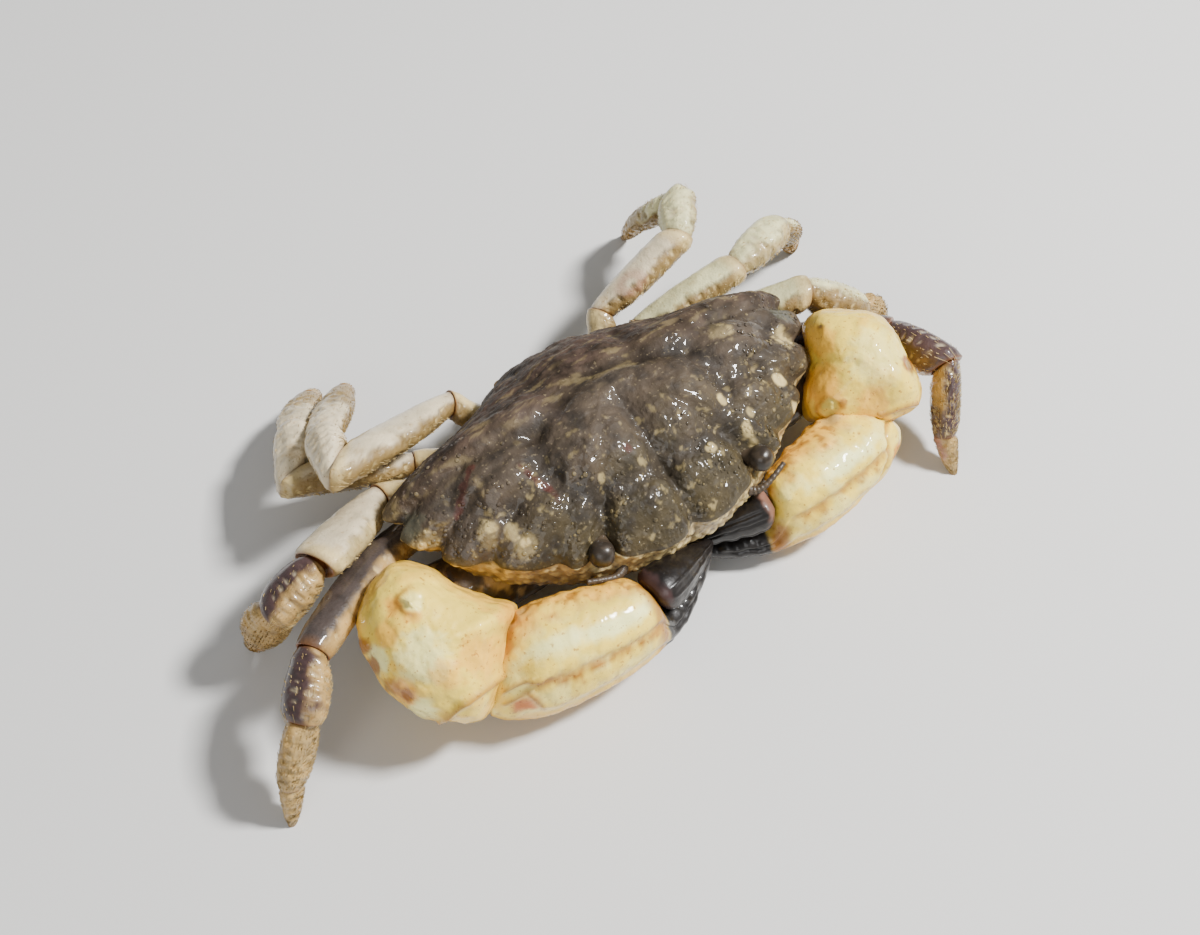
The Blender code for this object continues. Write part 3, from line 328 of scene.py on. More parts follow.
# Palette names of each walking leg's articles after the hip: smooth face, then the granular fringe in front
# The first right leg's dark grey arm is painted shadow
LEG_TONES = {
    "leg1_right": (("shadowed_slate", "tan"), ("plum", "tan"), ("tan", "gold"), ("tan", "gold")),
    "leg2_right": (("lilac", "cream"), ("plum", "tan"), ("gold", "tan"), ("gold", "tan")),
    "leg3_right": (("lilac", "gold"), ("lilac", "cream"), ("lilac", "gold"), ("gold", "tan")),
    "leg4_right": (("lilac", "gold"), ("lilac", "cream"), ("lilac", "gold"), ("gold", "tan")),
    "leg1_left": (("plum", "plum"), ("plum", "gold"), ("gold", "plum"), ("rose", "gold")),
    "leg2_left": (("mint", "gold"), ("mint", "gold"), ("tan", "gold"), ("tan", "gold")),
    "leg3_left": (("mint", "gold"), ("mint", "cream"), ("mint", "gold"), ("gold", "tan")),
    "leg4_left": (("lilac", "gold"), ("mint", "cream"), ("mint", "gold"), ("gold", "tan")),
}
HIP_TONES = ("cream", "gold")
PALE_FACES = ("lilac", "mint", "cream")
# Direction of the fringe side of the legs, and over how much of the turn away from it the fringe ends
FRINGE_WAY = np.array((0.0, -0.96, -0.28))
FRINGE_BAND = (0.0, 0.45)
# Pinkish ring round a paler oval on a leg: place along the article and half width round it in radians, the
# way it faces, and its half length as a share of the article
LEG_BLUSHES = {("leg4_left", "merus"): (0.36, 0.8)}
BLUSH_WAY = (-0.3, -0.4, 0.85)
BLUSH_LENGTH = 0.16

# Bristles: seed, how thickly each leg article is set, rows and columns of places on an article, and ranges of
# length and half width
BRISTLE_SEED = 500
BRISTLE_SHARES = (0.0, 0.9, 0.6, 1.6, 1.0)
BRISTLE_GRID = (40, 36)
BRISTLE_LENGTHS = (0.5, 1.3)
BRISTLE_WIDTHS = (0.022, 0.038)
# Row of a leg's wrist from which its bristles form a tuft, and how much longer they are there
TUFT_START = 31
TUFT_LENGTH = 1.6
# A bristle has two rings of three points, each at a share of its length and width, and a tip that droops;
# none of its points lies under the floor height
BRISTLE_RINGS = ((-0.12, 1.0), (0.55, 0.7))
BRISTLE_DROOP = np.array((0.0, 0.0, 0.12))
BRISTLE_POINTS = 7
BRISTLE_FLOOR = 0.05
# Its seven points on the unwrap, in a patch of this size
PATCH_CORNERS = ((0.0, 0.0), (1.0, 0.0), (0.5, 1.0), (0.2, 0.5), (0.8, 0.5), (0.5, 0.8), (0.5, 1.0))
PATCH_SIZE = 0.003

# Claws: hip, arm start, arm end, middle and depth of the wrist, start and end of the palm, direction from the
# palm's lower to its upper edge, size, turn of the fingers in degrees, and the shares of the palm's lower and
# upper edge that are missing by the wrist
CLAWS = {
    "right": {
        "hip": (-8.4, -8.0, 5.8), "arm": (-13.4, -9.6, 6.0), "elbow": (-25.6, -7.0, 7.6),
        "carpus": (-28.3, -13.0, 10.0), "carpus_depth": 7.6, "wrist": (-24.4, -18.9, 8.2),
        "palm_end": (-7.2, -22.9, 7.4), "palm_up": (0.0, 0.15, 1.0), "size": 1.0, "turn": 34.0,
        "heel_cut": 0.0, "crown_cut": 0.0,
    },
    "left": {
        "hip": (8.4, -8.0, 5.8), "arm": (13.4, -9.0, 6.0), "elbow": (24.6, -6.6, 8.0),
        "carpus": (28.7, -11.8, 11.2), "carpus_depth": 6.8, "wrist": (26.6, -17.2, 8.6),
        "palm_end": (10.2, -20.2, 5.8), "palm_up": (0.0, 0.2, 1.0), "size": 0.95, "turn": 34.0,
        "heel_cut": 0.3, "crown_cut": 0.24,
    },
}
# The claws' wrists are drawn looking along this slope: its turn and its rise in degrees
WRIST_TURN = -35.4
WRIST_RISE = 54.9
# Outline of each wrist in that view: angle in degrees from its right, and half width
WRIST_OUTLINES = {
    "right": (
        (-175, 7.6), (-158, 6.9), (-132, 7.0), (-95, 7.9), (-73, 8.5), (-58, 9.2), (-39, 8.3), (-22, 7.6),
        (-5, 7.2), (10, 7.6), (20, 8.7), (26, 8.6), (36, 7.1), (56, 6.0), (76, 6.1), (101, 7.7), (118, 8.8),
        (136, 8.7), (160, 8.1),
    ),
    "left": (
        (-172, 6.2), (-158, 7.1), (-147, 8.0), (-137, 8.4), (-122, 7.6), (-105, 7.1), (-82, 6.7), (-58, 6.9),
        (-40, 7.3), (-29, 7.3), (-10, 6.2), (12, 5.0), (32, 4.9), (56, 5.5), (84, 6.2), (112, 7.0),
        (132, 8.2), (142, 8.0), (160, 6.8), (174, 6.0),
    ),
}
# Under 1 the wrist is fuller than an ellipsoid
WRIST_SQUARENESS = 0.9
# Rings and points round them of the wrist's mesh and of the two articles before it
WRIST_GRID = (120, 160)
ARM_GRID = (70, 64)
# Raised and sunk places of a wrist: right and up in that view, spread and height
WRIST_BUMPS = {
    "right": (
        (-1.8, 4.3, 0.85, 0.9), (-3.5, 3.9, 0.8, -0.5), (-2.4, -4.6, 1.3, -0.7), (-6.3, -1.2, 1.0, -0.6),
        (1.8, -1.0, 2.8, 0.4), (5.6, 1.6, 1.6, 0.4),
    ),
    "left": (
        (-4.3, -4.6, 0.95, 0.7), (-2.9, -4.2, 0.5, 0.45), (5.0, 0.1, 0.9, -0.45), (0.6, -3.6, 1.8, -0.5),
        (4.0, -2.4, 2.2, 0.5), (-2.6, 2.6, 2.6, 0.3), (1.3, 1.4, 2.4, 0.35),
    ),
}
# Cross sections of the two claw articles next to the body, in the measure of the legs
CLAW_COXA = ((0.0, 2.6, 2.4, 2.4), (0.5, 3.0, 2.6, 2.6), (1.0, 2.5, 2.4, 2.3))
CLAW_MERUS = (
    (0.0, 2.3, 2.2, 2.1), (0.15, 3.0, 2.7, 2.7), (0.4, 3.6, 3.0, 3.3), (0.7, 3.8, 3.1, 3.5),
    (1.0, 3.2, 3.0, 3.2), (1.2, 2.8, 2.8, 2.8),
)
# Hand: its lengths, where along the palm it begins to bend and how much of the fingers bends with it, how far
# from the wrist the cuts of its edges reach and fade, and the teeth of the biting edges
PALM_LENGTH = 17.2
FINGER_LENGTH = 11.0
BEND_START = 0.62
BEND_SHARE = 0.35
HEEL_END = 12.0
HEEL_FADE = 6.0
TOOTH_START = 18.8
TOOTH_END = 27.4
TOOTH_FADE = 1.5
TOOTH_SPACING = 2.2
TOOTH_HEIGHT = 0.22
# Long grooves of the palm's outer face: place between the lower edge at -1 and the upper at 1, depth and
# half width
PALM_GROOVES = ((0.33, 0.45, 0.13), (-0.45, 0.3, 0.16))
# Palm and fixed finger along the hand: distance from the wrist, lower edge, upper edge, half thickness
HAND_SECTIONS = (
    (-1.8, -5.6, -1.4, 1.8), (-0.6, -6.4, 1.6, 2.9), (1.2, -6.7, 4.0, 3.8), (3.4, -6.8, 5.6, 4.8),
    (6.2, -6.4, 6.1, 5.0), (9.0, -5.8, 6.1, 4.8), (11.8, -5.3, 5.8, 4.4), (14.4, -5.0, 5.5, 3.9),
    (16.0, -4.8, 4.7, 3.4), (17.2, -4.6, 1.6, 3.0), (18.2, -4.4, -0.2, 2.8), (19.35, -4.1, -0.5, 2.6),
    (20.45, -3.9, -0.5, 2.4), (21.55, -3.6, -0.5, 2.2), (22.65, -3.3, -0.45, 2.0), (23.75, -3.0, -0.4, 1.75),
    (24.85, -2.6, -0.4, 1.5), (25.95, -2.1, -0.35, 1.2), (27.1, -1.5, -0.25, 0.85), (28.1, -0.9, -0.1, 0.5),
)
HAND_END = HAND_SECTIONS[-1][0]
# Movable finger in the same measure
FINGER_SECTIONS = (
    (17.0, 2.6, 4.0, 1.6), (17.6, 1.2, 4.7, 2.4), (18.25, 0.3, 4.9, 2.6), (19.35, 0.0, 4.8, 2.5),
    (20.45, 0.0, 4.5, 2.35), (21.55, 0.05, 4.2, 2.2), (22.65, 0.1, 3.8, 2.0), (23.75, 0.1, 3.3, 1.75),
    (24.85, 0.15, 2.8, 1.5), (25.95, 0.2, 2.3, 1.2), (27.1, 0.25, 1.7, 0.9), (28.1, 0.35, 1.1, 0.55),
)
# Long grooves of the movable finger, in degrees round it
FINGER_GROOVES = (-20, 18, 48, 135, 165)
# Coloured places of a wrist: right and up in the view in which it is drawn, half width, palette name and
# strength
# The amber marks near the left wrist's left and lower left edge are painted shade
WRIST_MARKS = {
    "right": (
        (-0.5, -1.0, 3.0, "milk", 0.7), (-5.1, -1.4, 1.5, "milk", 1.0), (-1.0, -6.4, 1.6, "milk", 0.8),
        (-3.5, 3.8, 1.1, "amber", 0.9), (-3.6, 3.8, 0.7, "brown", 0.5), (-1.7, 3.2, 1.1, "amber", 0.7),
        (-2.4, -4.6, 1.5, "amber", 1.0), (-2.3, -4.7, 0.9, "brown", 1.0), (-3.8, -4.0, 1.1, "brown", 0.8),
        (-6.8, -0.3, 0.9, "brown", 0.9), (-5.9, -2.2, 1.0, "brown", 0.9), (4.9, -1.0, 2.2, "amber", 0.75),
        (1.8, -2.5, 1.8, "amber", 0.6), (-4.3, 1.1, 1.4, "amber", 0.7), (7.9, 3.2, 1.7, "amber", 0.9),
    ),
    "left": (
        (0.8, 1.0, 3.4, "milk", 0.4), (-5.1, 4.1, 0.35, "dark", 1.0), (4.5, 0.1, 1.1, "brown", 1.0),
        (4.5, 0.0, 0.6, "gold", 1.0), (0.4, -4.4, 2.0, "amber", 0.7), (-4.3, -3.9, 1.7, "amber", 0.7),
        (-2.9, -4.2, 0.6, "brown", 0.8), (-5.1, -1.8, 2.0, "amber", 0.9), (-5.3, 2.6, 1.8, "amber", 0.7),
    ),
}
# Crusty raised place of each wrist in the same view: right, up, half sizes and palette name
# Brown round each crust's left and lower side is painted shadow
WRIST_CRUSTS = {"right": (-1.7, 4.4, 1.25, 1.15, "milk"), "left": (-4.3, -4.6, 1.0, 0.9, "moss")}
# Creases of a wrist in the same view, painted brown as shade: route, depth and half width
WRIST_CREASES = {
    "right": ((((7.4, -2.9), (6.4, -3.5), (3.4, -5.5), (0.6, -7.8)), 0.55, 0.32),),
    "left": ((((5.6, -4.0), (3.6, -4.6), (1.4, -5.3)), 0.3, 0.3),),
}
# Coloured places of a palm: distance along it, degrees round it from the outer face up, half sizes, palette
# name, strength
# The long milk marks at 50 to 60 degrees are a painted highlight along each palm's outer face
PALM_MARKS = {
    "right": (
        (0.8, 100, 1.6, 26, "brown", 0.9), (2.4, 118, 2.4, 16, "gold", 0.8), (0.9, -2, 1.5, 12, "joint", 1.0),
        (3.0, 20, 1.8, 6, "brown", 0.7), (5.0, 60, 4.0, 12, "milk", 0.8), (11.0, 54, 5.0, 13, "milk", 1.0),
        (15.9, 40, 1.0, 60, "brown", 0.7),
    ),
    "left": (
        (1.0, 100, 2.0, 30, "brown", 0.7), (4.0, 112, 2.4, 16, "gold", 0.8), (8.0, 50, 5.5, 16, "milk", 1.0),
        (1.2, -10, 1.8, 12, "joint", 0.8), (17.6, 10, 1.3, 60, "brown", 0.9),
    ),
}
# Creases of a palm, painted brown as shade: route (distance along it, tens of degrees round it), depth and half width
PALM_CREASES = {
    "right": (
        (((-0.4, 3.2), (1.4, 3.0), (2.8, 2.2)), 0.4, 0.35),
        (((-0.6, 0.9), (1.4, 1.3), (2.8, -0.6)), 0.3, 0.3),
    ),
    "left": ((((-0.4, 6.0), (1.6, 3.6), (2.6, 0.6), (5.0, -1.2)), 0.5, 0.4),),
}
# Where the dark horn of the fixed finger begins along the hand; on the right it begins early as painted shade
FINGER_BORDERS = {"right": 16.9, "left": 18.4}

# Left mouth door: both ends, cross sections in the measure of the legs, rings and points round them
DOOR_ENDS = np.array(((2.5, -8.6, 3.6), (2.7, -15.6, 7.0)))
MOUTH_DOOR = (
    (0.0, 0.5, 0.6, 1.5), (0.12, 0.8, 0.8, 2.0), (0.5, 0.9, 0.8, 2.25), (0.6, 0.85, 0.8, 2.25),
    (0.64, 0.6, 0.8, 2.1), (0.68, 0.85, 0.8, 2.3), (0.9, 0.8, 0.8, 2.3), (1.0, 0.5, 0.6, 1.8),
)
DOOR_GRID = (60, 44)
# Left eye on its stalk: both ends, share of the way and radius, rings and points round them
EYE_ENDS = np.array(((8.8, -13.8, 13.0), (10.9, -17.7, 14.8)))
EYE_RADII = (
    (0.0, 0.9), (0.3, 1.0), (0.46, 1.05), (0.6, 1.3), (0.76, 1.35), (0.88, 1.15), (0.96, 0.75), (1.0, 0.3),
)
EYE_GRID = (60, 48)
# Left feeler: places and half widths, rings and points round them, and number of its joints
FEELER_ROUTE = (
    (7.4, -15.6, 11.0, 0.6), (8.0, -17.0, 11.0, 0.7), (8.8, -17.9, 11.1, 0.5), (9.8, -18.2, 11.5, 0.36),
    (11.2, -18.0, 12.0, 0.32), (12.8, -17.5, 12.4, 0.28),
)
FEELER_GRID = (80, 16)
FEELER_JOINTS = 13
# Tail flap under the body, from the back forward: y, z and half width
ABDOMEN_ROUTE = (
    (12.4, 7.3, 4.6), (12.7, 5.6, 4.4), (11.2, 3.7, 4.3), (8.6, 2.7, 4.1), (6.0, 2.35, 3.7), (5.6, 2.5, 3.5),
    (2.6, 2.25, 3.0), (2.2, 2.4, 2.8), (-0.6, 2.3, 2.3), (-1.0, 2.4, 2.0), (-3.6, 2.4, 1.2), (-4.6, 2.6, 0.5),
)
# Its thickness, its mesh, and the rows of mesh in each of its segments
ABDOMEN_THICKNESS = 1.0
ABDOMEN_GRID = (90, 64)
SEGMENT_ROWS = 15
# Breastplate: its middle from front to back and in height, its top, half sizes, mesh, and places of its seams
THORAX_MIDDLE = -1.4
THORAX_LEVEL = 5.6
THORAX_TOP = UNDERSIDE - 0.33
THORAX_HALF = (11.6, 9.7)
THORAX_GRID = (70, 140)
THORAX_SEAMS = (-6.0, -2.4, 1.2, 4.6)

# Camera: turn and rise of its view in degrees, place, lens and sensor in mm, nearest distance in metres
CAMERA_TURN = -35.390893
CAMERA_RISE = 54.948090
CAMERA_PLACE = (-65.2037, -93.5496, 164.3139)
CAMERA_LENS = 52.45081
CAMERA_SENSOR = 36.0
CAMERA_CLIP = 0.01
# Lights: name, property that holds the power, place and size in metres; they aim at this height in mm
LIGHTS = (
    ("key light", "key_power", (0.28, -0.16, 0.42), 0.08),
    ("fill light", "fill_power", (-0.35, -0.30, 0.30), 0.35),
)
CRAB_MIDDLE = 10.0
FLOOR_COLOUR = (0.62, 0.61, 0.59, 1.0)
FLOOR_ROUGHNESS = 0.8
SKY_COLOUR = (0.93, 0.96, 1.0, 1.0)


class CrabShellSettings(PropertyGroup):
    cells: IntProperty(
        name="Back mesh cells", description="Cells along each side of the back's sheet", default=260, min=40)
    grain: FloatProperty(
        name="Shell grain", description="Height of the shell's fine unevenness in mm", default=0.09)
    bead_size: FloatProperty(
        name="Granule size", description="Half width of the front granules in mm", default=0.19)
    beads: IntProperty(name="Granules", description="Number of granules on the back", default=800, min=0)


class CrabLimbSettings(PropertyGroup):
    leg_rings: IntProperty(
        name="Leg rings", description="Rings of mesh along each leg article", default=64, min=8)
    leg_sides: IntProperty(name="Leg sides", description="Points round each leg article", default=40, min=8)
    hand_rings: IntProperty(
        name="Hand rings", description="Rings of mesh along each claw's hand", default=190, min=20)
    hand_sides: IntProperty(
        name="Hand sides", description="Points round each claw's hand", default=96, min=12)
    bristles: IntProperty(
        name="Bristles", description="Bristles tried on each hairy leg article", default=900, min=0)


def colour_property(name, default, description):
    return FloatVectorProperty(
        name=name, description=description, default=default, size=3, min=0.0, max=1.0, subtype="COLOR")


class CrabPalette(PropertyGroup):
    dark: colour_property("Shell dark", (0.022, 0.016, 0.011), "Dark grey brown of the furrows")
    stone: colour_property("Shell", (0.054, 0.038, 0.024), "Grey brown of the back")
    olive: colour_property("Shell front", (0.038, 0.027, 0.010), "Olive brown towards the front")
    mauve: colour_property("Shell behind", (0.062, 0.040, 0.030), "Purplish brown towards the back edge")
    pale: colour_property("Pale patches", (0.50, 0.38, 0.16), "Cream patches of the back")
    rust: colour_property("Rust", (0.054, 0.011, 0.006), "Red brown stains")
    green: colour_property("Grey green", (0.10, 0.11, 0.07), "Greenish corners of the back")
    ochre: colour_property("Ochre", (0.40, 0.28, 0.12), "Granular strip under the front")
    ivory: colour_property("Ivory", (0.89, 0.64, 0.08), "Main colour of the claws")
    # Amber is also painted as shade round the wrists' outlines and on the left wrist's left edge
    amber: colour_property("Amber", (0.84, 0.42, 0.04), "Warm edges of the claws")
    # Brown of the claws' stains, also painted as shade in their creases and round the wrists' crusts
    brown: colour_property("Claw stain and shade", (0.32, 0.115, 0.008), "Brown hollows of the claws")
    # Milk is also the painted highlight along the palms
    milk: colour_property("Milk", (0.92, 0.88, 0.35), "Palest faces of the claws")
    moss: colour_property("Moss yellow", (0.50, 0.46, 0.12), "Greenish yellow knob of the left wrist")
    # Near black of the fingers, made darker still as painted shade for the shadow they lie in
    horn: colour_property("Finger horn", (0.007, 0.005, 0.004), "Near black fingers")
    # Lilac white is also painted on the knobs of the legs' wrists as a highlight
    lilac: colour_property("Lilac white", (0.66, 0.55, 0.36), "Smooth faces of the pale legs")
    gold: colour_property("Golden brown", (0.40, 0.26, 0.09), "Granular fringes of the legs")
    plum: colour_property("Plum", (0.055, 0.030, 0.028), "Purple brown wrists of the legs")
    # Painted shadow: dark grey for the first right leg's arm, which lies in shade
    shadowed_slate: colour_property("Slate", (0.052, 0.038, 0.032), "Dark grey arm of the first right leg")
    tan: colour_property("Tan", (0.42, 0.26, 0.085), "Velvety ends of the legs")
    cream: colour_property("Cream", (0.66, 0.50, 0.22), "Hips and pale knobs of the legs")
    mint: colour_property("Greenish white", (0.66, 0.62, 0.33), "Left hind legs and the breastplate")
    rose: colour_property("Rose", (0.36, 0.17, 0.11), "Pinkish tip, ring and finger base")
    joint: colour_property("Joint skin", (0.60, 0.17, 0.02), "Orange spot of the palms, and the leg joints")


class CrabStudioSettings(PropertyGroup):
    floor_size: FloatProperty(
        name="Floor size", description="Half width of the floor", default=2.0, unit="LENGTH")
    key_power: FloatProperty(name="Key light", description="Power of the main light in watts", default=7.0)
    fill_power: FloatProperty(name="Fill light", description="Power of the fill light in watts", default=1.2)
    sky: FloatProperty(name="Sky", description="Strength of the pale surroundings", default=0.3)


def smooth_table(values, table):
    """Reads a table of (key, numbers...) at many values, with a smooth curve through its rows."""
    table = np.asarray(table, float)
    keys, rows = table[:, 0], table[:, 1:]
    values = np.clip(np.asarray(values, float), keys[0], keys[-1])
    low = np.clip(np.searchsorted(keys, values, side="right") - 1, 0, len(keys) - 2)
    before, high, after = np.maximum(low - 1, 0), low + 1, np.minimum(low + 2, len(keys) - 1)
    span = (keys[high] - keys[low])[..., None]
    t = (values - keys[low])[..., None] / span
    slope_low = (rows[high] - rows[before]) / (keys[high] - keys[before])[..., None] * span
    slope_high = (rows[after] - rows[low]) / (keys[after] - keys[low])[..., None] * span
    t2, t3 = t * t, t ** 3
    return (
        (2 * t3 - 3 * t2 + 1) * rows[low] + (t3 - 2 * t2 + t) * slope_low
        + (3 * t2 - 2 * t3) * rows[high] + (t3 - t2) * slope_high
    )


def smooth_route(route, count):
    """Many places along a smooth curve through a route's rows."""
    route = np.array(route)
    keys = np.arange(len(route), dtype=float)
    return smooth_table(np.linspace(0.0, keys[-1], count), np.column_stack((keys, route)))


def smoothstep(values, low, high):
    t = np.clip((values - low) / (high - low), 0.0, 1.0)
    return t * t * (3.0 - 2.0 * t)


def near(value, middle, half_width):
    """A soft bump: 1 at the middle and fading over the half width."""
    return np.exp(-(((value - middle) / half_width) ** 2))


def mix(first, second, weight):
    weight = np.asarray(weight)[..., None]
    return np.asarray(first) * (1.0 - weight) + np.asarray(second) * weight


def palette(name):
    return np.array(getattr(bpy.context.scene.crab_palette, name))


def paint(tones, name, weight, shade=1.0):
    """Lays a palette colour, darkened by the shade, over the tones."""
    return mix(tones, palette(name) * shade, weight)


def power(values, exponent):
    return np.sign(values) * np.abs(values) ** exponent


def unit(vectors):
    vectors = np.asarray(vectors, float)
    return vectors / np.linalg.norm(vectors, axis=-1, keepdims=True)


def ring_angles(sides, start=math.pi / 2):
    return 2.0 * math.pi * np.arange(sides) / sides + start


def bearing_of(x, y):
    """Angle of a place about the shell's centre: 0 in front, a half turn behind, the same on both sides."""
    return np.arctan2(np.abs(x - SHELL_CENTRE[0]), -(y - SHELL_CENTRE[1]))


def distance_out(x, y):
    return np.hypot(x - SHELL_CENTRE[0], y - SHELL_CENTRE[1])


def plain_radius(bearing):
    return smooth_table(bearing, [(bearing_of(x, y), distance_out(x, y)) for x, y in HALF_OUTLINE])[..., 0]


def margin_radius(bearing):
    """Distance from the shell's centre to its margin, with the lobes and notches of the edge."""
    plain = plain_radius(bearing)
    radius = plain.copy()
    for (x, y), height, half_width in MARGIN_LOBES:
        radius += height * np.exp(-(((bearing - bearing_of(x, y)) * plain / half_width) ** 4))
    for (x, y), depth, half_width in MARGIN_NOTCHES:
        radius -= depth * near(bearing * plain, bearing_of(x, y) * plain, half_width)
    return radius


def margin_height(bearing):
    front = MARGIN_FRONT + (MARGIN_SIDE - MARGIN_FRONT) * np.sin(np.minimum(bearing, math.pi / 2)) ** 2
    back = MARGIN_SIDE + (MARGIN_BACK - MARGIN_SIDE) * np.abs(np.cos(bearing)) ** 1.2
    return np.where(bearing <= math.pi / 2, front, back)


def distance_to_route(x, y, route):
    best = np.full(np.shape(x), np.inf)
    for (ax, ay), (bx, by) in zip(route, route[1:]):
        dx, dy = bx - ax, by - ay
        t = np.clip(((x - ax) * dx + (y - ay) * dy) / (dx * dx + dy * dy), 0.0, 1.0)
        best = np.minimum(best, np.hypot(x - ax - t * dx, y - ay - t * dy))
    return best


def furrow_depth(x, y):
    total = np.zeros(np.shape(x))
    for route, depth, half_width in FURROWS:
        total += depth * near(distance_to_route(np.abs(x), y, route), 0.0, half_width)
    return total


def relief(x, y):
    """Height of the swollen regions less the depth of the furrows."""
    height = -furrow_depth(x, y)
    for (cx, cy), (rx, ry), rise in REGIONS:
        height += rise * near(np.abs(x), cx, rx) * near(y, cy, ry)
    return height


def shell_top(x, y):
    """Height of the back: a dome over the margin, fuller at the sides, with its relief."""
    bearing = bearing_of(x, y)
    share = np.minimum(1.0, distance_out(x, y) / margin_radius(bearing))
    edge = margin_height(bearing)
    backward = np.maximum(0.0, -np.cos(bearing))
    fullness = DOME_FULLNESS + SIDE_FULLNESS * np.sin(bearing) ** 2 + BACK_FULLNESS * backward
    dome = (1.0 - share ** fullness) ** (0.8 - 0.15 * backward)
    return edge + (CARAPACE_TOP - edge) * dome + relief(x, y) * np.minimum(1.0, (1.0 - share) * 8.0)


def under_point(share, bearing):
    """Distance out and height of the underside: a steep face at the front, sloping sides elsewhere."""
    last = FACE_PROFILE[-1]
    profile = smooth_table(np.minimum(share, last[0]), FACE_PROFILE)
    margin, edge = margin_radius(bearing), margin_height(bearing)
    t = np.clip((share - last[0]) / (1.0 - last[0]), 0.0, 1.0)
    face_out = profile[..., 0] * plain_radius(bearing) * (1 - t) + margin * t
    face_height = profile[..., 1] * (1 - t) + edge * t
    rise = np.maximum(0.0, (share - 0.58) / 0.42) ** 1.8
    drop = np.clip((share - 0.76) / 0.18, 0.0, 1.0)
    floor = np.where(bearing < math.pi / 2, UNDERSIDE, UNDERSIDE - 1.2 * drop * np.cos(bearing) ** 2)
    side_height = floor + (edge - floor) * rise
    weight = smoothstep(np.cos(bearing), FACE_END, FACE_START)
    radius = face_out * weight + margin * share * (1 - weight)
    return radius, face_height * weight + side_height * (1 - weight)


def sheet_places(cells, crowding):
    """Share of the way out and signed bearing of the points of a square sheet laid over the shell."""
    line = np.linspace(-1.0, 1.0, cells + 1)
    u, v = np.meshgrid(line, line, indexing="ij")
    x, y = u * np.sqrt(1.0 - v * v / 2), v * np.sqrt(1.0 - u * u / 2)
    angle = np.arctan2(x, -y)
    return np.minimum(1.0, np.hypot(x, y)) ** crowding, angle - FRONT_CROWDING * np.sin(angle)


def place_on_shell(angle, radius):
    return SHELL_CENTRE[0] + np.sin(angle) * radius, SHELL_CENTRE[1] - np.cos(angle) * radius


def top_sheet(cells):
    """Points of the back on a square sheet, and how far out each one lies."""
    share, angle = sheet_places(cells, TOP_CROWDING)
    x, y = place_on_shell(angle, margin_radius(np.abs(angle)) * share)
    return np.stack((x, y, shell_top(x, y)), axis=-1), share


def under_sheet(cells):
    """Points of the underside on the same square sheet."""
    share, angle = sheet_places(cells, UNDER_CROWDING)
    radius, height = under_point(share, np.abs(angle))
    return np.stack((*place_on_shell(angle, radius), height), axis=-1)


def shift_to_frame():
    """The move from the animal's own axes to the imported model, read from the carapace solid."""
    low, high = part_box("carapace")
    return np.array(((low.x + high.x) / 2 / MM, high.y / MM - BACK_END, 0.0))


SHIFT = shift_to_frame()


def lumps(points, kind, turn=0):
    """Smooth random heights between about -1 and 1; the turn gives each limb its own."""
    size, seed = LUMPS[kind]
    offset = Vector([(seed + turn) * step for step in (13.7, -7.3, 5.1)])
    flat = points.reshape(-1, 3) / size
    values = [noise.fractal(Vector(p) + offset, 1.0, 2.0, 3) for p in flat.tolist()]
    return np.array(values).reshape(points.shape[:-1])


def cells_of(points, kind, turn=0):
    """Rounded granules: 1 at a granule's middle, 0 at its rim."""
    size, seed = CELLS[kind]
    offset = Vector([(seed + turn) * step for step in (3.1, 9.7, -4.3)])
    flat = points.reshape(-1, 3) / size
    values = [noise.voronoi(Vector(p) + offset)[0][0] for p in flat.tolist()]
    return np.clip(1.0 - np.array(values).reshape(points.shape[:-1]) * 1.7, 0.0, 1.0)


def new_piece(name, points, faces, material, tones, nodes=()):
    """Makes a smooth piece from points in mm and sets it on the model.

    Tones hold a colour for each point, and as a fourth value how wet it is.
    """
    points = np.asarray(points, float).reshape(-1, 3)
    mesh = bpy.data.meshes.new(name)
    mesh.from_pydata(((points + SHIFT) * MM).tolist(), [], faces)
    mesh.update()
    layer = mesh.attributes.new("tone", "FLOAT_COLOR", "POINT")
    rgba = np.ones((len(points), 4), dtype=np.float32)
    tones = np.asarray(tones).reshape(len(points), -1)
    rgba[:, :tones.shape[1]] = tones
    layer.data.foreach_set("color", rgba.ravel())
    mesh.shade_smooth()
    mesh.materials.append(material)
    piece = bpy.data.objects.new(name, mesh)
    bpy.context.scene.collection.objects.link(piece)
    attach(piece, "root")
    if nodes:
        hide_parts(*nodes)
    return piece


def normals_of(points, faces):
    """Normals of a set of points joined by faces."""
    mesh = bpy.data.meshes.new("scratch")
    mesh.from_pydata(points.reshape(-1, 3).tolist(), [], faces)
    mesh.update()
    found = np.empty(len(mesh.vertices) * 3, dtype=np.float32)
    mesh.vertex_normals.foreach_get("vector", found)
    bpy.data.meshes.remove(mesh)
    return found.reshape(-1, 3).astype(float)


def raise_points(points, faces, heights):
    """Moves each point out along its normal by its height."""
    moved = points.reshape(-1, 3) + normals_of(points, faces) * np.asarray(heights).reshape(-1, 1)
    return moved.reshape(points.shape)


def with_end_points(rings):
    """Flattens a stack of rings, adds the middle of both ends, and gives the faces over it."""
    count, sides, _ = rings.shape
    grid = np.arange(count * sides).reshape(count, sides)
    turned = np.roll(grid, -1, axis=1)
    faces = np.stack((grid[:-1], turned[:-1], turned[1:], grid[1:]), axis=-1).reshape(-1, 4).tolist()
    first, last = count * sides, count * sides + 1
    ends = np.stack((grid[0], turned[0], grid[-1], turned[-1]), axis=1).tolist()
    for start, start_next, end, end_next in ends:
        faces += [(first, start_next, start), (last, end, end_next)]
    return np.concatenate((rings.reshape(-1, 3), rings[:1].mean(axis=1), rings[-1:].mean(axis=1))), faces


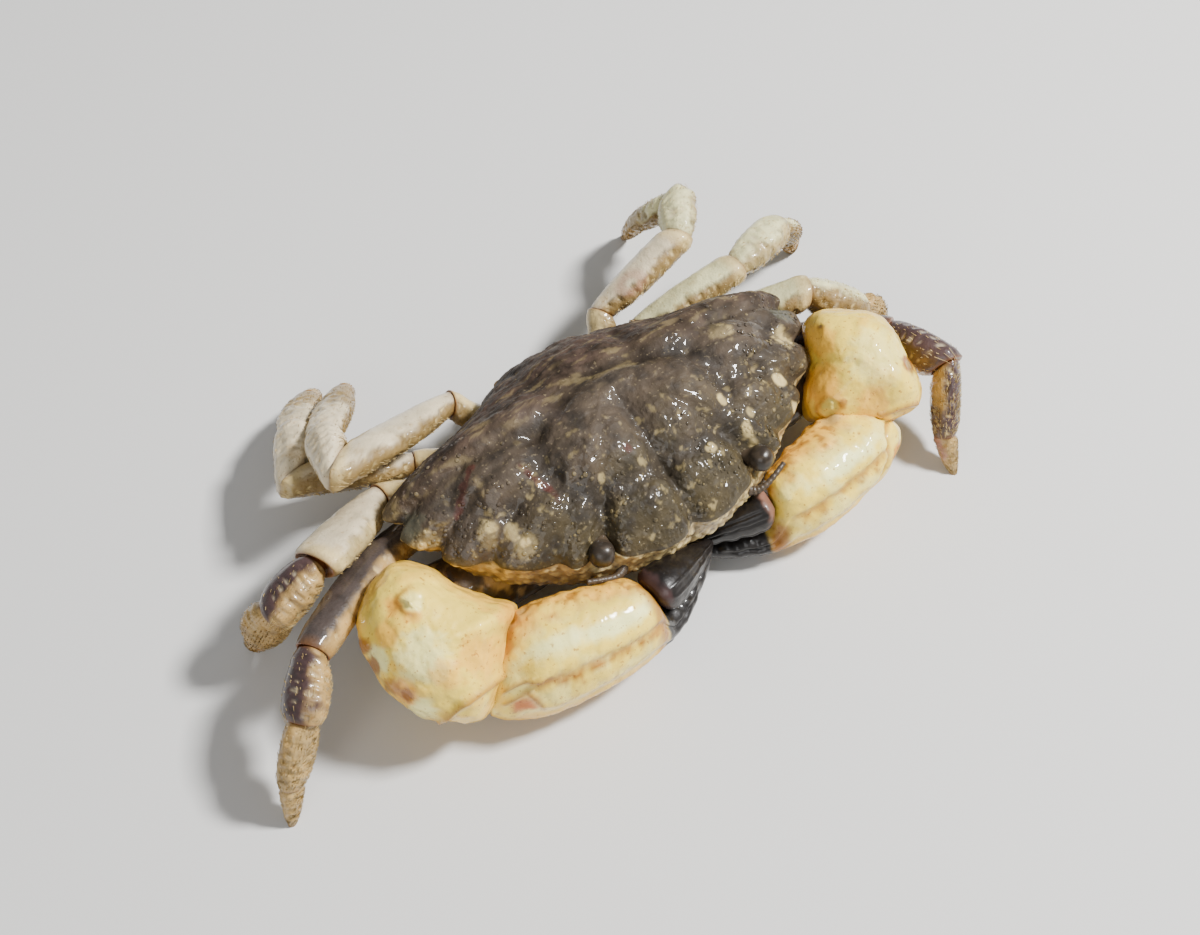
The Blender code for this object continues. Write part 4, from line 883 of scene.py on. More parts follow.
def ring_piece(name, rings, heights, tones, material, floor=None):
    """A closed piece over a stack of rings, raised by the heights, that stands for the solid of its name."""
    points, faces = with_end_points(rings)
    points = raise_points(points, faces, np.append(heights.ravel(), (0.0, 0.0)))
    if floor is not None:
        points[:, 2] = np.maximum(points[:, 2], floor)
    flat = np.concatenate((tones.reshape(-1, 3), tones[0, :1], tones[-1, :1]))
    return new_piece(f"{name}_shell", points, faces, material, flat, (name,))


def noise_output(tree, size, detail=4.0, distortion=0.0):
    """A noise whose features are about the given size in mm, in the object's own space."""
    node = tree.nodes.new("ShaderNodeTexNoise")
    for key, value in (("Scale", 1.0 / (size * MM)), ("Detail", detail), ("Distortion", distortion)):
        node.inputs[key].default_value = value
    tree.links.new(tree.nodes["Place"].outputs["Object"], node.inputs["Vector"])
    return node.outputs["Fac"]


def remap(tree, source, low, high, to_low, to_high):
    node = tree.nodes.new("ShaderNodeMapRange")
    for key, value in (("From Min", low), ("From Max", high), ("To Min", to_low), ("To Max", to_high)):
        node.inputs[key].default_value = value
    tree.links.new(source, node.inputs["Value"])
    return node.outputs["Result"]


def calculate(tree, operation, first, second):
    node = tree.nodes.new("ShaderNodeMath")
    node.operation = operation
    tree.links.new(first, node.inputs[0])
    tree.links.new(second, node.inputs[1])
    return node.outputs[0]


def mix_colour(tree, factor, first, second, mode):
    node = tree.nodes.new("ShaderNodeMix")
    node.data_type = "RGBA"
    node.blend_type = mode
    for socket, value in ((node.inputs[0], factor), (node.inputs[6], first), (node.inputs[7], second)):
        if hasattr(value, "node"):
            tree.links.new(value, socket)
        else:
            socket.default_value = value
    return node.outputs[2]


def dots_mask(tree, strength):
    """Small separate dots: places near the middle of a cell, dropped where a slow noise is low."""
    cells = tree.nodes.new("ShaderNodeTexVoronoi")
    cells.inputs["Scale"].default_value = 1.0 / (DOT_SPACING * MM)
    tree.links.new(tree.nodes["Place"].outputs["Object"], cells.inputs["Vector"])
    dots = remap(tree, cells.outputs["Distance"], DOT_WIDTH * 0.6, DOT_WIDTH, strength, 0.0)
    return calculate(tree, "MULTIPLY", dots, remap(tree, noise_output(tree, 2.4, 2.0), 0.45, 0.6, 0.0, 1.0))


def finish(kind):
    """A shell finish: the point colours, cloudy mottling, small specks, uneven gloss and a fine bump."""
    name, mottle, speckle, speckle_colour, mode, rough, coat, coat_rough, layers, height = FINISHES[kind]
    material = bpy.data.materials.new(name)
    material.use_nodes = True
    tree = material.node_tree
    shader = tree.nodes["Principled BSDF"]
    tree.nodes.new("ShaderNodeTexCoord").name = "Place"
    tone = tree.nodes.new("ShaderNodeAttribute")
    tone.attribute_name = "tone"
    shade = remap(tree, noise_output(tree, 3.0, 6.0, 0.6), 0.3, 0.7, 1.0 - mottle, 1.0 + mottle)
    grey = tree.nodes.new("ShaderNodeCombineColor")
    for key in ("Red", "Green", "Blue"):
        tree.links.new(shade, grey.inputs[key])
    colour = mix_colour(tree, 1.0, tone.outputs["Color"], grey.outputs["Color"], "MULTIPLY")
    specks = remap(tree, noise_output(tree, 0.45, 3.0), 0.62, 0.72, 0.0, speckle)
    for mask in (specks, dots_mask(tree, speckle)):
        colour = mix_colour(tree, mask, colour, (*speckle_colour, 1.0), mode)
    tree.links.new(colour, shader.inputs["Base Color"])
    tree.links.new(remap(tree, noise_output(tree, 1.6), 0.3, 0.7, *rough), shader.inputs["Roughness"])
    for key, dry, wet in (("Specular IOR Level", 0.08, 0.3), ("Coat Weight", 0.0, coat)):
        tree.links.new(remap(tree, tone.outputs["Alpha"], 0.0, 1.0, dry, wet), shader.inputs[key])
    shader.inputs["Coat Roughness"].default_value = coat_rough
    shader.inputs["Coat IOR"].default_value = WATER_IOR
    bumps = [remap(tree, noise_output(tree, size), 0.0, 1.0, 0.0, weight) for size, weight in layers]
    total = bumps[0]
    for further in bumps[1:]:
        total = calculate(tree, "ADD", total, further)
    bump = tree.nodes.new("ShaderNodeBump")
    bump.inputs["Strength"].default_value = 1.0
    bump.inputs["Distance"].default_value = height * MM
    tree.links.new(total, bump.inputs["Height"])
    tree.links.new(bump.outputs["Normal"], shader.inputs["Normal"])
    return material


def grid_faces(order, flip):
    """Faces over a square sheet of point numbers."""
    corners = np.stack((order[:-1, :-1], order[1:, :-1], order[1:, 1:], order[:-1, 1:]), axis=-1)
    return (corners[..., ::-1] if flip else corners).reshape(-1, 4).tolist()


def back_tones(points):
    """Colours of the back: darker in the furrows, olive in front, with its cream and red brown places."""
    x, y = points[..., 0], points[..., 1]
    cloud = lumps(points, "back cloud")
    fleck = lumps(points, "back fleck")
    streak = lumps(points * BACK_STREAK_WAY, "back streak")
    behind = smoothstep(y, -5.0, 1.0)
    tones = paint(palette("stone"), "olive", smoothstep(-y + 3.0 * cloud, 6.0, 15.0))
    tones = paint(tones, "mauve", smoothstep(y + 4.0 * cloud, -4.0, 4.0))
    tones = paint(tones, "dark", 0.6 * smoothstep(furrow_depth(x, y), 0.2, 0.7))
    tones = paint(tones, "pale", 0.3 * smoothstep(fleck, 0.42, 0.75) * smoothstep(-y, -2.0, 12.0))
    tones = paint(tones, "dark", 0.6 * behind * smoothstep(streak, 0.15, 0.5))
    tones = paint(tones, "pale", 0.16 * behind * smoothstep(-streak, 0.25, 0.6))
    tones = paint(tones, "dark", 0.6 * smoothstep(lumps(points, "back grime"), 0.2, 0.6))
    knobby = 0.3 + 0.7 * smoothstep(cells_of(points, "back knobs"), 0.15, 0.3)
    for (sx, sy), half_size, name, strength in SHELL_SPOTS:
        away = np.hypot(x - sx, y - sy) / half_size + 0.35 * fleck
        broken = knobby if half_size > WHOLE_SPOT and name == "pale" else 1.0
        dull = 1.0 - 0.5 * behind * (name == "pale")
        tones = paint(tones, name, strength * dull * broken * smoothstep(-away, -1.2, -0.7))
    for start, end, half_width, name, strength in SHELL_STREAKS:
        away = distance_to_route(x, y, (start, end)) / half_width + 0.8 * fleck
        dull = 1.0 - (0.65 * behind if name == "pale" else 0.25)
        tones = paint(tones, name, strength * dull * smoothstep(-away, -1.2, -0.4))
    return tones


def back_heights(points, share):
    """Fine unevenness of the back in mm: soft lumps, cross wrinkles behind and pebbles in front."""
    y = points[..., 1]
    grain = bpy.context.scene.crab_shell.grain
    soft = 0.12 * lumps(points, "back swell") + grain * lumps(points, "back grain")
    wrinkles = 0.09 * lumps(points * WRINKLE_WAY, "back wrinkle") * smoothstep(y, -6.0, 2.0)
    pebbles = 0.1 * cells_of(points, "back pebbles") + 0.07 * cells_of(points, "back grit")
    forward = 0.3 + 0.7 * smoothstep(-y, 4.0, 12.0)
    return (soft + wrinkles + pebbles * forward) * np.clip((1.0 - share) * 30.0, 0.15, 1.0)


class CRAB_OT_back(Operator):
    """Builds the carapace as one closed shell over the solid's own form"""

    bl_idname = "crab.back"
    bl_label = "Build the carapace"

    def execute(self, context):
        cells = context.scene.crab_shell.cells
        order = np.arange((cells + 1) ** 2).reshape(cells + 1, cells + 1)
        under_order = order.copy()
        under_order[1:-1, 1:-1] = order.size + np.arange((cells - 1) ** 2).reshape(cells - 1, cells - 1)
        top_faces = grid_faces(order, False)
        top, share = top_sheet(cells)
        top = raise_points(top, top_faces, back_heights(top, share)).reshape(-1, 3)
        under, under_tones = self.granular_underside(under_sheet(cells)[1:-1, 1:-1].reshape(-1, 3))
        points = np.concatenate((top, under))
        dry = smoothstep(points[:, 1] + 4.0 * lumps(points, "dry edge"), *DRY_BAND)
        tones = np.column_stack((np.concatenate((back_tones(top), under_tones)), 1.0 - 0.9 * dry))
        faces = top_faces + grid_faces(under_order, True)
        new_piece("carapace_shell", points, faces, finish("back"), tones, ("carapace",))
        return {"FINISHED"}

    def granular_underside(self, points):
        """Sets granules on the underside and the strip of face under the front edge, and colours them."""
        knobs = cells_of(points, "face knobs")
        heights = 0.12 * lumps(points, "face swell") + 0.3 * knobs
        points = points + unit(points - SHELL_MIDDLE) * heights[:, None]
        tones = paint(palette("ochre") * 0.8, "pale", smoothstep(knobs, 0.1, 0.5))
        return points, paint(tones, "dark", 0.6 * smoothstep(lumps(points, "face grime"), 0.2, 0.6))


def bead_template():
    bm = bmesh.new()
    bmesh.ops.create_icosphere(bm, subdivisions=2, radius=1.0)
    points = np.array([vert.co[:] for vert in bm.verts])
    faces = [tuple(vert.index for vert in face.verts) for face in bm.faces]
    bm.free()
    return points, faces


def spread_beads(places, ways, sizes):
    """Many small domes joined into one set of points, each flattened along its own way."""
    shape, shape_faces = bead_template()
    points, faces = [], []
    for place, way, size in zip(places, unit(ways), sizes):
        side = unit(np.cross(way, (0.3, 0.9, 0.2)))
        axes = np.stack((side, np.cross(way, side), GRANULE_FLATNESS * way))
        start = len(points) * len(shape)
        points.append(place + size * (shape @ axes))
        faces += [tuple(start + k for k in face) for face in shape_faces]
    return np.concatenate(points), faces


class CRAB_OT_granules(Operator):
    """Scatters the raised granules over the front and the edges of the back"""

    bl_idname = "crab.granules"
    bl_label = "Add the granules"

    def execute(self, context):
        settings = context.scene.crab_shell
        draw = random.Random(GRANULE_SEED)
        places, ways, sizes = [], [], []
        while len(places) < settings.beads:
            x, y = draw.uniform(*GRANULE_SPAN_X), draw.uniform(*GRANULE_SPAN_Y)
            if not self.fits(x, y, draw):
                continue
            z = float(shell_top(x, y))
            slope_x = (float(shell_top(x + SLOPE_STEP, y)) - z) / SLOPE_STEP
            slope_y = (float(shell_top(x, y + SLOPE_STEP)) - z) / SLOPE_STEP
            places.append(np.array((x, y, z)))
            ways.append((-slope_x, -slope_y, 1.0))
            sizes.append(settings.bead_size * draw.uniform(*GRANULE_SIZES))
        points, faces = spread_beads(places, ways, sizes)
        tones = paint(back_tones(points), "pale", 0.2 * smoothstep(lumps(points, "granule tone"), 0.15, 0.5))
        new_piece("carapace_granules", points, faces, finish("back"), tones)
        return {"FINISHED"}

    def fits(self, x, y, draw):
        """Granules crowd towards the edge and the front, and keep off the rim and the deep furrows."""
        share = float(distance_out(x, y) / margin_radius(bearing_of(x, y)))
        if share > GRANULE_RIM:
            return False
        crowding = min(1.0, max(0.0, (share - 0.45) / 0.5)) * (1.0 if y < GRANULE_FRONT else GRANULES_BEHIND)
        return draw.random() <= crowding and float(furrow_depth(x, y)) <= GRANULE_FURROW


def blunt(points, joint, before, after, size):
    """Draws points in where they lie beyond the limit of a sharply bent knee."""
    if math.degrees(math.acos(np.dot(before, after))) < SHARP_BEND:
        return points
    outward = unit(before - after)
    beyond = np.maximum(0.0, (points - joint) @ outward - KNEE_LIMIT * size)
    return points - (beyond * (1.0 - KNEE_KEPT))[..., None] * outward


def article_rings(start, end, crest, sections, rings, sides, size=1.0, normals=None, gaps=(0.0, 0.0),
                  bow=STRAIGHT, keen=1.25, flare=1.0):
    """Rings of one limb article, its ends in the joint planes; also each point's share, angle and way out."""
    start, end = np.asarray(start, float), np.asarray(end, float)
    along = unit(end - start)
    up = unit(np.asarray(crest, float) - np.dot(crest, along) * along)
    side = np.cross(along, up)
    share = np.linspace(0.0, 1.0, rings)
    table = smooth_table(share, sections) * size
    table[:, :2] *= 1.0 + (flare - 1.0) * share[:, None]
    angle = ring_angles(sides)
    rise = np.where(
        np.sin(angle) > 0, table[:, :1] * power(np.sin(angle), keen),
        table[:, 1:2] * power(np.sin(angle), LIMB_SQUARENESS),
    )
    across = table[:, 2:3] * power(np.cos(angle), LIMB_SQUARENESS)
    centre = start + share[:, None] * (end - start) + np.sin(math.pi * share)[:, None] * np.asarray(bow)
    points = centre[:, None, :] + across[..., None] * side + rise[..., None] * up
    first_plane, last_plane = normals if normals is not None else (along, along)
    for anchor, normal, gap, from_end in (
        (start, first_plane, gaps[0], share), (end, last_plane, -gaps[1], 1.0 - share),
    ):
        ahead = (points - anchor) @ along
        lean = ((anchor - points + ahead[..., None] * along) @ normal) / np.dot(along, normal)
        push = (lean + np.dot(normal * gap, along)) * np.maximum(0.0, 1.0 - from_end / LEAN_REACH)[:, None]
        points = points + push[..., None] * along
    ways = np.cos(angle)[:, None] * side + np.sin(angle)[:, None] * up
    shape = (rings, sides)
    return (
        points, np.broadcast_to(share[:, None], shape), np.broadcast_to(angle, shape),
        np.broadcast_to(ways, (*shape, 3)),
    )


def with_sockets(rings, along):
    """Adds a narrow neck before a limb article and a shallow socket after it, so that joints close."""
    first, last = rings[0], rings[-1]
    start, end = first.mean(axis=0), last.mean(axis=0)
    before = [start + (first - start) * size - along * out for size, out in NECK_RINGS]
    after = [end + (last - end) * size + along * out for size, out in SOCKET_RINGS]
    return np.concatenate((np.stack(before), rings, np.stack(after)))


def with_socket_values(values):
    """Repeats the first and the last row for the rings that with_sockets adds."""
    return np.concatenate((values[:1],) * len(NECK_RINGS) + (values,) + (values[-1:],) * len(SOCKET_RINGS))


def joint_normals(points):
    ways = unit(np.diff(points, axis=0))
    return [ways[0]] + [unit(a + b) for a, b in zip(ways, ways[1:])] + [ways[-1]]


def leg_way(leg, number):
    return unit(np.subtract(LEGS[leg][number + 1], LEGS[leg][number]))


def leg_article(leg, number, rings, sides):
    """Points of one article of a walking leg, with their shares, angles and ways out."""
    points = LEGS[leg]
    pair, side = leg.split("_")
    size = LEG_SCALE[pair]
    crest, bow, flare = LEG_CREST, STRAIGHT, 1.0
    if number >= FOOT_START:
        crest = np.array(FOOT_CRESTS[pair]) * (1.0 if side == "left" else -1.0, 1.0, 1.0)
    if LEG_ARTICLES[number] == "merus":
        bow, flare = MERUS_BOWS.get(leg, STRAIGHT), MERUS_FLARES.get(leg, 1.0)
    normals = joint_normals(points)
    normals[-1] = np.array((0.0, 0.0, -1.0))
    inner_joints = range(1, len(LEG_ARTICLES))
    body, share, angle, ways = article_rings(
        points[number], points[number + 1], crest, LEG_SECTIONS[LEG_ARTICLES[number]], rings, sides, size,
        normals[number:number + 2], [LEG_GAP * (joint in inner_joints) for joint in (number, number + 1)],
        bow, flare=flare,
    )
    for joint in (number, number + 1):
        if joint in inner_joints:
            body = blunt(body, np.array(points[joint]), leg_way(leg, joint - 1), leg_way(leg, joint), size)
    return body, share, angle, ways


def knob_rows(share, angle, cloud):
    """Rows of knobs along the ridges of a leg's wrist and hand."""
    knobs = np.zeros(share.shape)
    for ridge in LEG_RIDGES:
        off = (angle + 0.25 * cloud - math.pi / 2 - ridge + math.pi) % (2 * math.pi) - math.pi
        beads = 0.55 + 0.45 * np.sin(2.0 * math.pi * (LEG_BEADS * share + ridge))
        knobs += near(off, 0.0, RIDGE_WIDTH) * np.sin(math.pi * share) * beads
    return knobs


class CRAB_OT_legs(Operator):
    """Builds the forty articles of the eight walking legs"""

    bl_idname = "crab.legs"
    bl_label = "Build the legs"

    def execute(self, context):
        settings = context.scene.crab_limbs
        material = finish("leg")
        for order, leg in enumerate(LEGS):
            for number in range(len(LEG_ARTICLES)):
                self.build_article(leg, order, number, settings, material)
        return {"FINISHED"}

    def build_article(self, leg, order, number, settings, material):
        article = LEG_ARTICLES[number]
        body, *values = leg_article(leg, number, settings.leg_rings, settings.leg_sides)
        rings = with_sockets(body, leg_way(leg, number))
        share, angle, ways = (with_socket_values(value) for value in values)
        inside = with_socket_values(np.zeros(body.shape[:2]))
        inside[:len(NECK_RINGS)] = inside[-len(SOCKET_RINGS):] = 1.0
        cloud = lumps(rings, "leg cloud", order * 7 + number)
        grains = cells_of(rings, "leg grains", order + number)
        fringe = smoothstep(ways @ FRINGE_WAY + 0.35 * cloud, *FRINGE_BAND)
        rough, knobs = fringe, np.zeros(share.shape)
        if article in ("propodus", "dactyl"):
            rough = np.maximum(fringe, 0.6)
            fringe = np.maximum(fringe, 0.9 * smoothstep(share + 0.35 * cloud, 0.25, 0.7))
        if article in ("carpus", "propodus"):
            knobs = knob_rows(share, angle, cloud)
        heights = 0.05 * cloud + 0.03 * lumps(rings, "leg skin", order) + 0.4 * rough * grains + 0.3 * knobs
        tip_fade = 5.0 if article == "dactyl" else 12.0
        fade = np.clip(np.minimum(share * 12.0, (1.0 - share) * tip_fade), 0.0, 1.0)
        face_name, fringe_name = (HIP_TONES, *LEG_TONES[leg])[number]
        pale = face_name in PALE_FACES
        tones = paint(palette(face_name), fringe_name, fringe, 0.6 if pale else 1.0)
        tones = paint(tones, "cream", 0.8 * fringe * smoothstep(grains, 0.5, 0.75))
        if pale:
            tones = self.stained(tones, order, rings, fringe)
            tones = paint(tones, "cream", 0.8 * smoothstep(share, 0.84, 0.94) * (article == "merus"))
        # Painted highlight: the knobs of a leg's wrist turn lilac white in place of wet glints
        if article == "carpus":
            tones = paint(tones, "lilac", 0.55 * smoothstep(knobs + 0.5 * cloud, 0.45, 1.0))
        tones = paint(tones, "brown", 0.5 * (1.0 - np.clip(fade * 1.8, 0.0, 1.0)), 0.5)
        tones = paint(tones, "joint", 0.8 * inside, 0.4)
        blotches = smoothstep(lumps(rings, "leg blotch", order), 0.25, 0.6)
        tones = mix(tones, tones * 0.45, blotches * (0.2 if pale else 0.6))
        if (leg, article) in LEG_BLUSHES:
            at, wide = LEG_BLUSHES[(leg, article)]
            turn = np.arccos(np.clip(ways @ unit(BLUSH_WAY), -1.0, 1.0))
            away = np.hypot((share - at) / BLUSH_LENGTH, turn / wide)
            tones = paint(tones, "rose", 0.5 * smoothstep(-away, -1.3, -0.7) * smoothstep(away, 0.2, 0.5))
        ring_piece(f"{leg}_{article}", rings, heights * fade * (1.0 - inside), tones, material,
                   0.0 if article == "dactyl" else None)

    def stained(self, tones, order, rings, fringe):
        """The golden clouds of a pale face and the dark stains where it meets the fringe."""
        tones = paint(tones, "gold", 0.4 * smoothstep(lumps(rings, "leg gold", order), 0.35, 0.6))
        edge = smoothstep(fringe, 0.2, 0.5) * smoothstep(-fringe, -0.8, -0.5)
        return paint(tones, "dark", 0.55 * edge * smoothstep(lumps(rings, "leg edge", order), -0.1, 0.3))


def bristle_set(roots, ways, lengths, widths, tones):
    """Thin tapering bristles of three sides, each bent a little towards its tip."""
    points, faces, colours, home = [], [], [], []
    for number, (root, way, length, width, tone) in enumerate(zip(roots, ways, lengths, widths, tones)):
        way = unit(way)
        side = unit(np.cross(way, (0.2, 0.5, 0.84)))
        other = np.cross(way, side)
        start = number * BRISTLE_POINTS
        for rise, size in BRISTLE_RINGS:
            for turn in (0.0, 2.1, 4.2):
                outward = math.cos(turn) * side + math.sin(turn) * other
                points.append(root + way * length * rise + width * size * outward)
        points.append(root + (way - BRISTLE_DROOP) * length)
        for k, n in ((0, 1), (1, 2), (2, 0)):
            faces.append((start + k, start + n, start + 3 + n, start + 3 + k))
            faces.append((start + 3 + k, start + 3 + n, start + 6))
        colours += [tone] * BRISTLE_POINTS
        home += [number] * BRISTLE_POINTS
    return np.array(points), faces, np.array(colours), home


def give_bristle_map(piece, places, home):
    """Lays each bristle as a small patch at its root's place on the unwrap of the leg's own shape."""
    layer = piece.data.uv_layers.new(name="OFBake")
    for loop in piece.data.loops:
        u, v = places[home[loop.vertex_index]]
        dx, dy = PATCH_CORNERS[loop.vertex_index % BRISTLE_POINTS]
        layer.data[loop.index].uv = (u + PATCH_SIZE * (dx - 0.5), v + PATCH_SIZE * (dy - 0.5))


class CRAB_OT_bristles(Operator):
    """Sets short golden bristles along the crests and over the ends of the legs"""

    bl_idname = "crab.bristles"
    bl_label = "Add the bristles"

    def execute(self, context):
        amount = context.scene.crab_limbs.bristles
        material = finish("bristle")
        for order, leg in enumerate(LEGS):
            draw = random.Random(BRISTLE_SEED + order)
            bristles, places = [], []
            for number in range(1, len(LEG_ARTICLES)):
                tries = int(amount * BRISTLE_SHARES[number])
                for bristle, place in self.on_article(leg, number, tries, draw):
                    bristles.append(bristle)
                    places.append(place)
            points, faces, colours, home = bristle_set(*zip(*bristles))
            points[:, 2] = np.maximum(points[:, 2], BRISTLE_FLOOR)
            piece = new_piece(f"{leg}_bristles", points, faces, material, colours)
            give_bristle_map(piece, places, home)
        return {"FINISHED"}

    def on_article(self, leg, number, tries, draw):
        """Root, way, length, width and tone of each bristle of an article, and its place on the unwrap."""
        rings, _, _, out_ways = leg_article(leg, number, *BRISTLE_GRID)
        points, faces = with_end_points(rings)
        normals = normals_of(points, faces)[:-2].reshape(rings.shape)
        along = leg_way(leg, number)
        rows, columns = BRISTLE_GRID
        for _ in range(tries):
            i, k = draw.randint(2, rows - 3), draw.randint(0, columns - 1)
            towards_fringe = float(out_ways[i, k] @ FRINGE_WAY)
            wanted = 0.5 + 0.5 * towards_fringe if number > 1 else towards_fringe * 1.6 - 0.6
            if draw.random() > wanted:
                continue
            jitter = np.array([draw.uniform(-0.2, 0.2) for _ in range(3)])
            way = normals[i, k] * 0.55 + along * 0.85 + jitter
            in_tuft = LEG_ARTICLES[number] == "carpus" and i > TUFT_START
            length = draw.uniform(*BRISTLE_LENGTHS) * (TUFT_LENGTH if in_tuft else 1.0)
            width = draw.uniform(*BRISTLE_WIDTHS)
            tone = paint(palette("gold"), "cream", draw.random()) * draw.uniform(0.7, 1.2)
            place = (0.02 + 0.96 * i / rows, (number - 1) / 4.0 + 0.01 + 0.22 * k / columns)
            yield (rings[i, k] + 0.3 * jitter, way, length, width, tone), place


def claw_frame(side):
    """Axes of a hand as columns: forward, outward, up; with the wrist and the sign of the inner side."""
    claw = CLAWS[side]
    wrist, up_hint = np.array(claw["wrist"]), np.array(claw["palm_up"])
    forward = unit(np.array(claw["palm_end"]) - wrist)
    up = unit(up_hint - np.dot(up_hint, forward) * forward)
    outward = np.cross(up, forward)
    return np.stack((forward, outward, up), axis=1), wrist, 1.0 if outward[1] > 0 else -1.0


def bend_hand(points, inner, bend):
    """Curves the far part of the hand towards the inner side, as a crab's fingers turn to its mouth."""
    start = PALM_LENGTH * BEND_START
    length = PALM_LENGTH - start + FINGER_LENGTH * BEND_SHARE
    run = np.maximum(0.0, points[..., 0] - start)
    turned = np.minimum(run, length)
    angle = bend * turned / length
    radius = length / bend
    beyond = run - turned
    x = np.minimum(points[..., 0], start) + radius * np.sin(angle) + beyond * np.cos(angle)
    y = inner * (radius * (1.0 - np.cos(angle)) + beyond * np.sin(angle))
    return np.stack((
        x - inner * points[..., 1] * np.sin(angle), y + points[..., 1] * np.cos(angle), points[..., 2],
    ), axis=-1)


def tooth_wave(x):
    """Height of the blunt teeth along the biting edges."""
    fade = np.clip(np.minimum(x - TOOTH_START, TOOTH_END - x) / TOOTH_FADE, 0.0, 1.0)
    return TOOTH_HEIGHT * fade * np.cos(2.0 * math.pi * (x - TOOTH_START) / TOOTH_SPACING)


def hand_surface(side, sections, rings, sides, biting_edge):
    """Points of a palm or finger, with each one's distance along the hand and degrees round it."""
    matrix, wrist, inner = claw_frame(side)
    claw = CLAWS[side]
    x = np.linspace(sections[0][0], sections[-1][0], rings)
    low, high, half = smooth_table(x, sections).T
    by_wrist = np.clip((HEEL_END - x) / HEEL_FADE, 0.0, 1.0)
    low = low * (1.0 - claw["heel_cut"] * by_wrist)
    high = high * (1.0 - claw["crown_cut"] * by_wrist)
    if biting_edge == "upper":
        high = high + tooth_wave(x)
    else:
        low = low + tooth_wave(x)
    angle = ring_angles(sides, 0.0)
    across = -inner * half[:, None] * power(np.cos(angle), LIMB_SQUARENESS)
    up = power(np.sin(angle), LIMB_SQUARENESS)
    if biting_edge == "upper":
        fade = np.clip(np.minimum(x / 2.5, (24.0 - x) / 4.0), 0.0, 1.0)[:, None] * (np.cos(angle) > 0)
        for place, depth, width in PALM_GROOVES:
            across = across + inner * fade * depth * near(up, place, width)
    shape = (rings, sides)
    long = np.broadcast_to(x[:, None], shape)
    height = ((low + high) / 2)[:, None] + ((high - low) / 2)[:, None] * up
    local = bend_hand(np.stack((long, across, height), axis=-1), inner, math.radians(claw["turn"]))
    degrees = np.degrees(np.arctan2(np.sin(angle), np.cos(angle)))
    return (local * claw["size"]) @ matrix.T + wrist, long, np.broadcast_to(degrees, shape)


def view_axes(turn, rise):
    """Right, up and outward axes of a view with the given turn and rise in degrees."""
    turn, rise = math.radians(turn), math.radians(rise)
    right = np.array((math.cos(turn), math.sin(turn), 0.0))
    outward = np.array((math.sin(turn) * math.cos(rise), -math.cos(turn) * math.cos(rise), math.sin(rise)))
    return right, np.cross(outward, right), outward


def wrist_surface(side):
    """Points of a claw's wrist, their places in the view in which it is drawn, and its half width there."""
    rows, columns = WRIST_GRID
    claw, outline = CLAWS[side], WRIST_OUTLINES[side]
    table = ((outline[-1][0] - 360, outline[-1][1]),) + outline + ((outline[0][0] + 360, outline[0][1]),)
    tilt = np.linspace(0.015, math.pi - 0.015, rows)[:, None]
    angle = np.linspace(-math.pi, math.pi, columns, endpoint=False)[None, :]
    half = smooth_table(np.degrees(angle), table)[..., 0]
    reach = power(np.sin(tilt), WRIST_SQUARENESS) * half
    x, y = np.cos(angle) * reach, np.sin(angle) * reach
    depth = power(np.cos(tilt), WRIST_SQUARENESS) * claw["carpus_depth"] + np.zeros((rows, columns))
    front = depth > 0
    for bx, by, spread, height in WRIST_BUMPS[side]:
        depth = depth + front * height * near(x, bx, spread) * near(y, by, spread)
    right, up, outward = view_axes(WRIST_TURN, WRIST_RISE)
    rings = x[..., None] * right + y[..., None] * up + depth[..., None] * outward + np.array(claw["carpus"])
    return rings, x, y, half, front


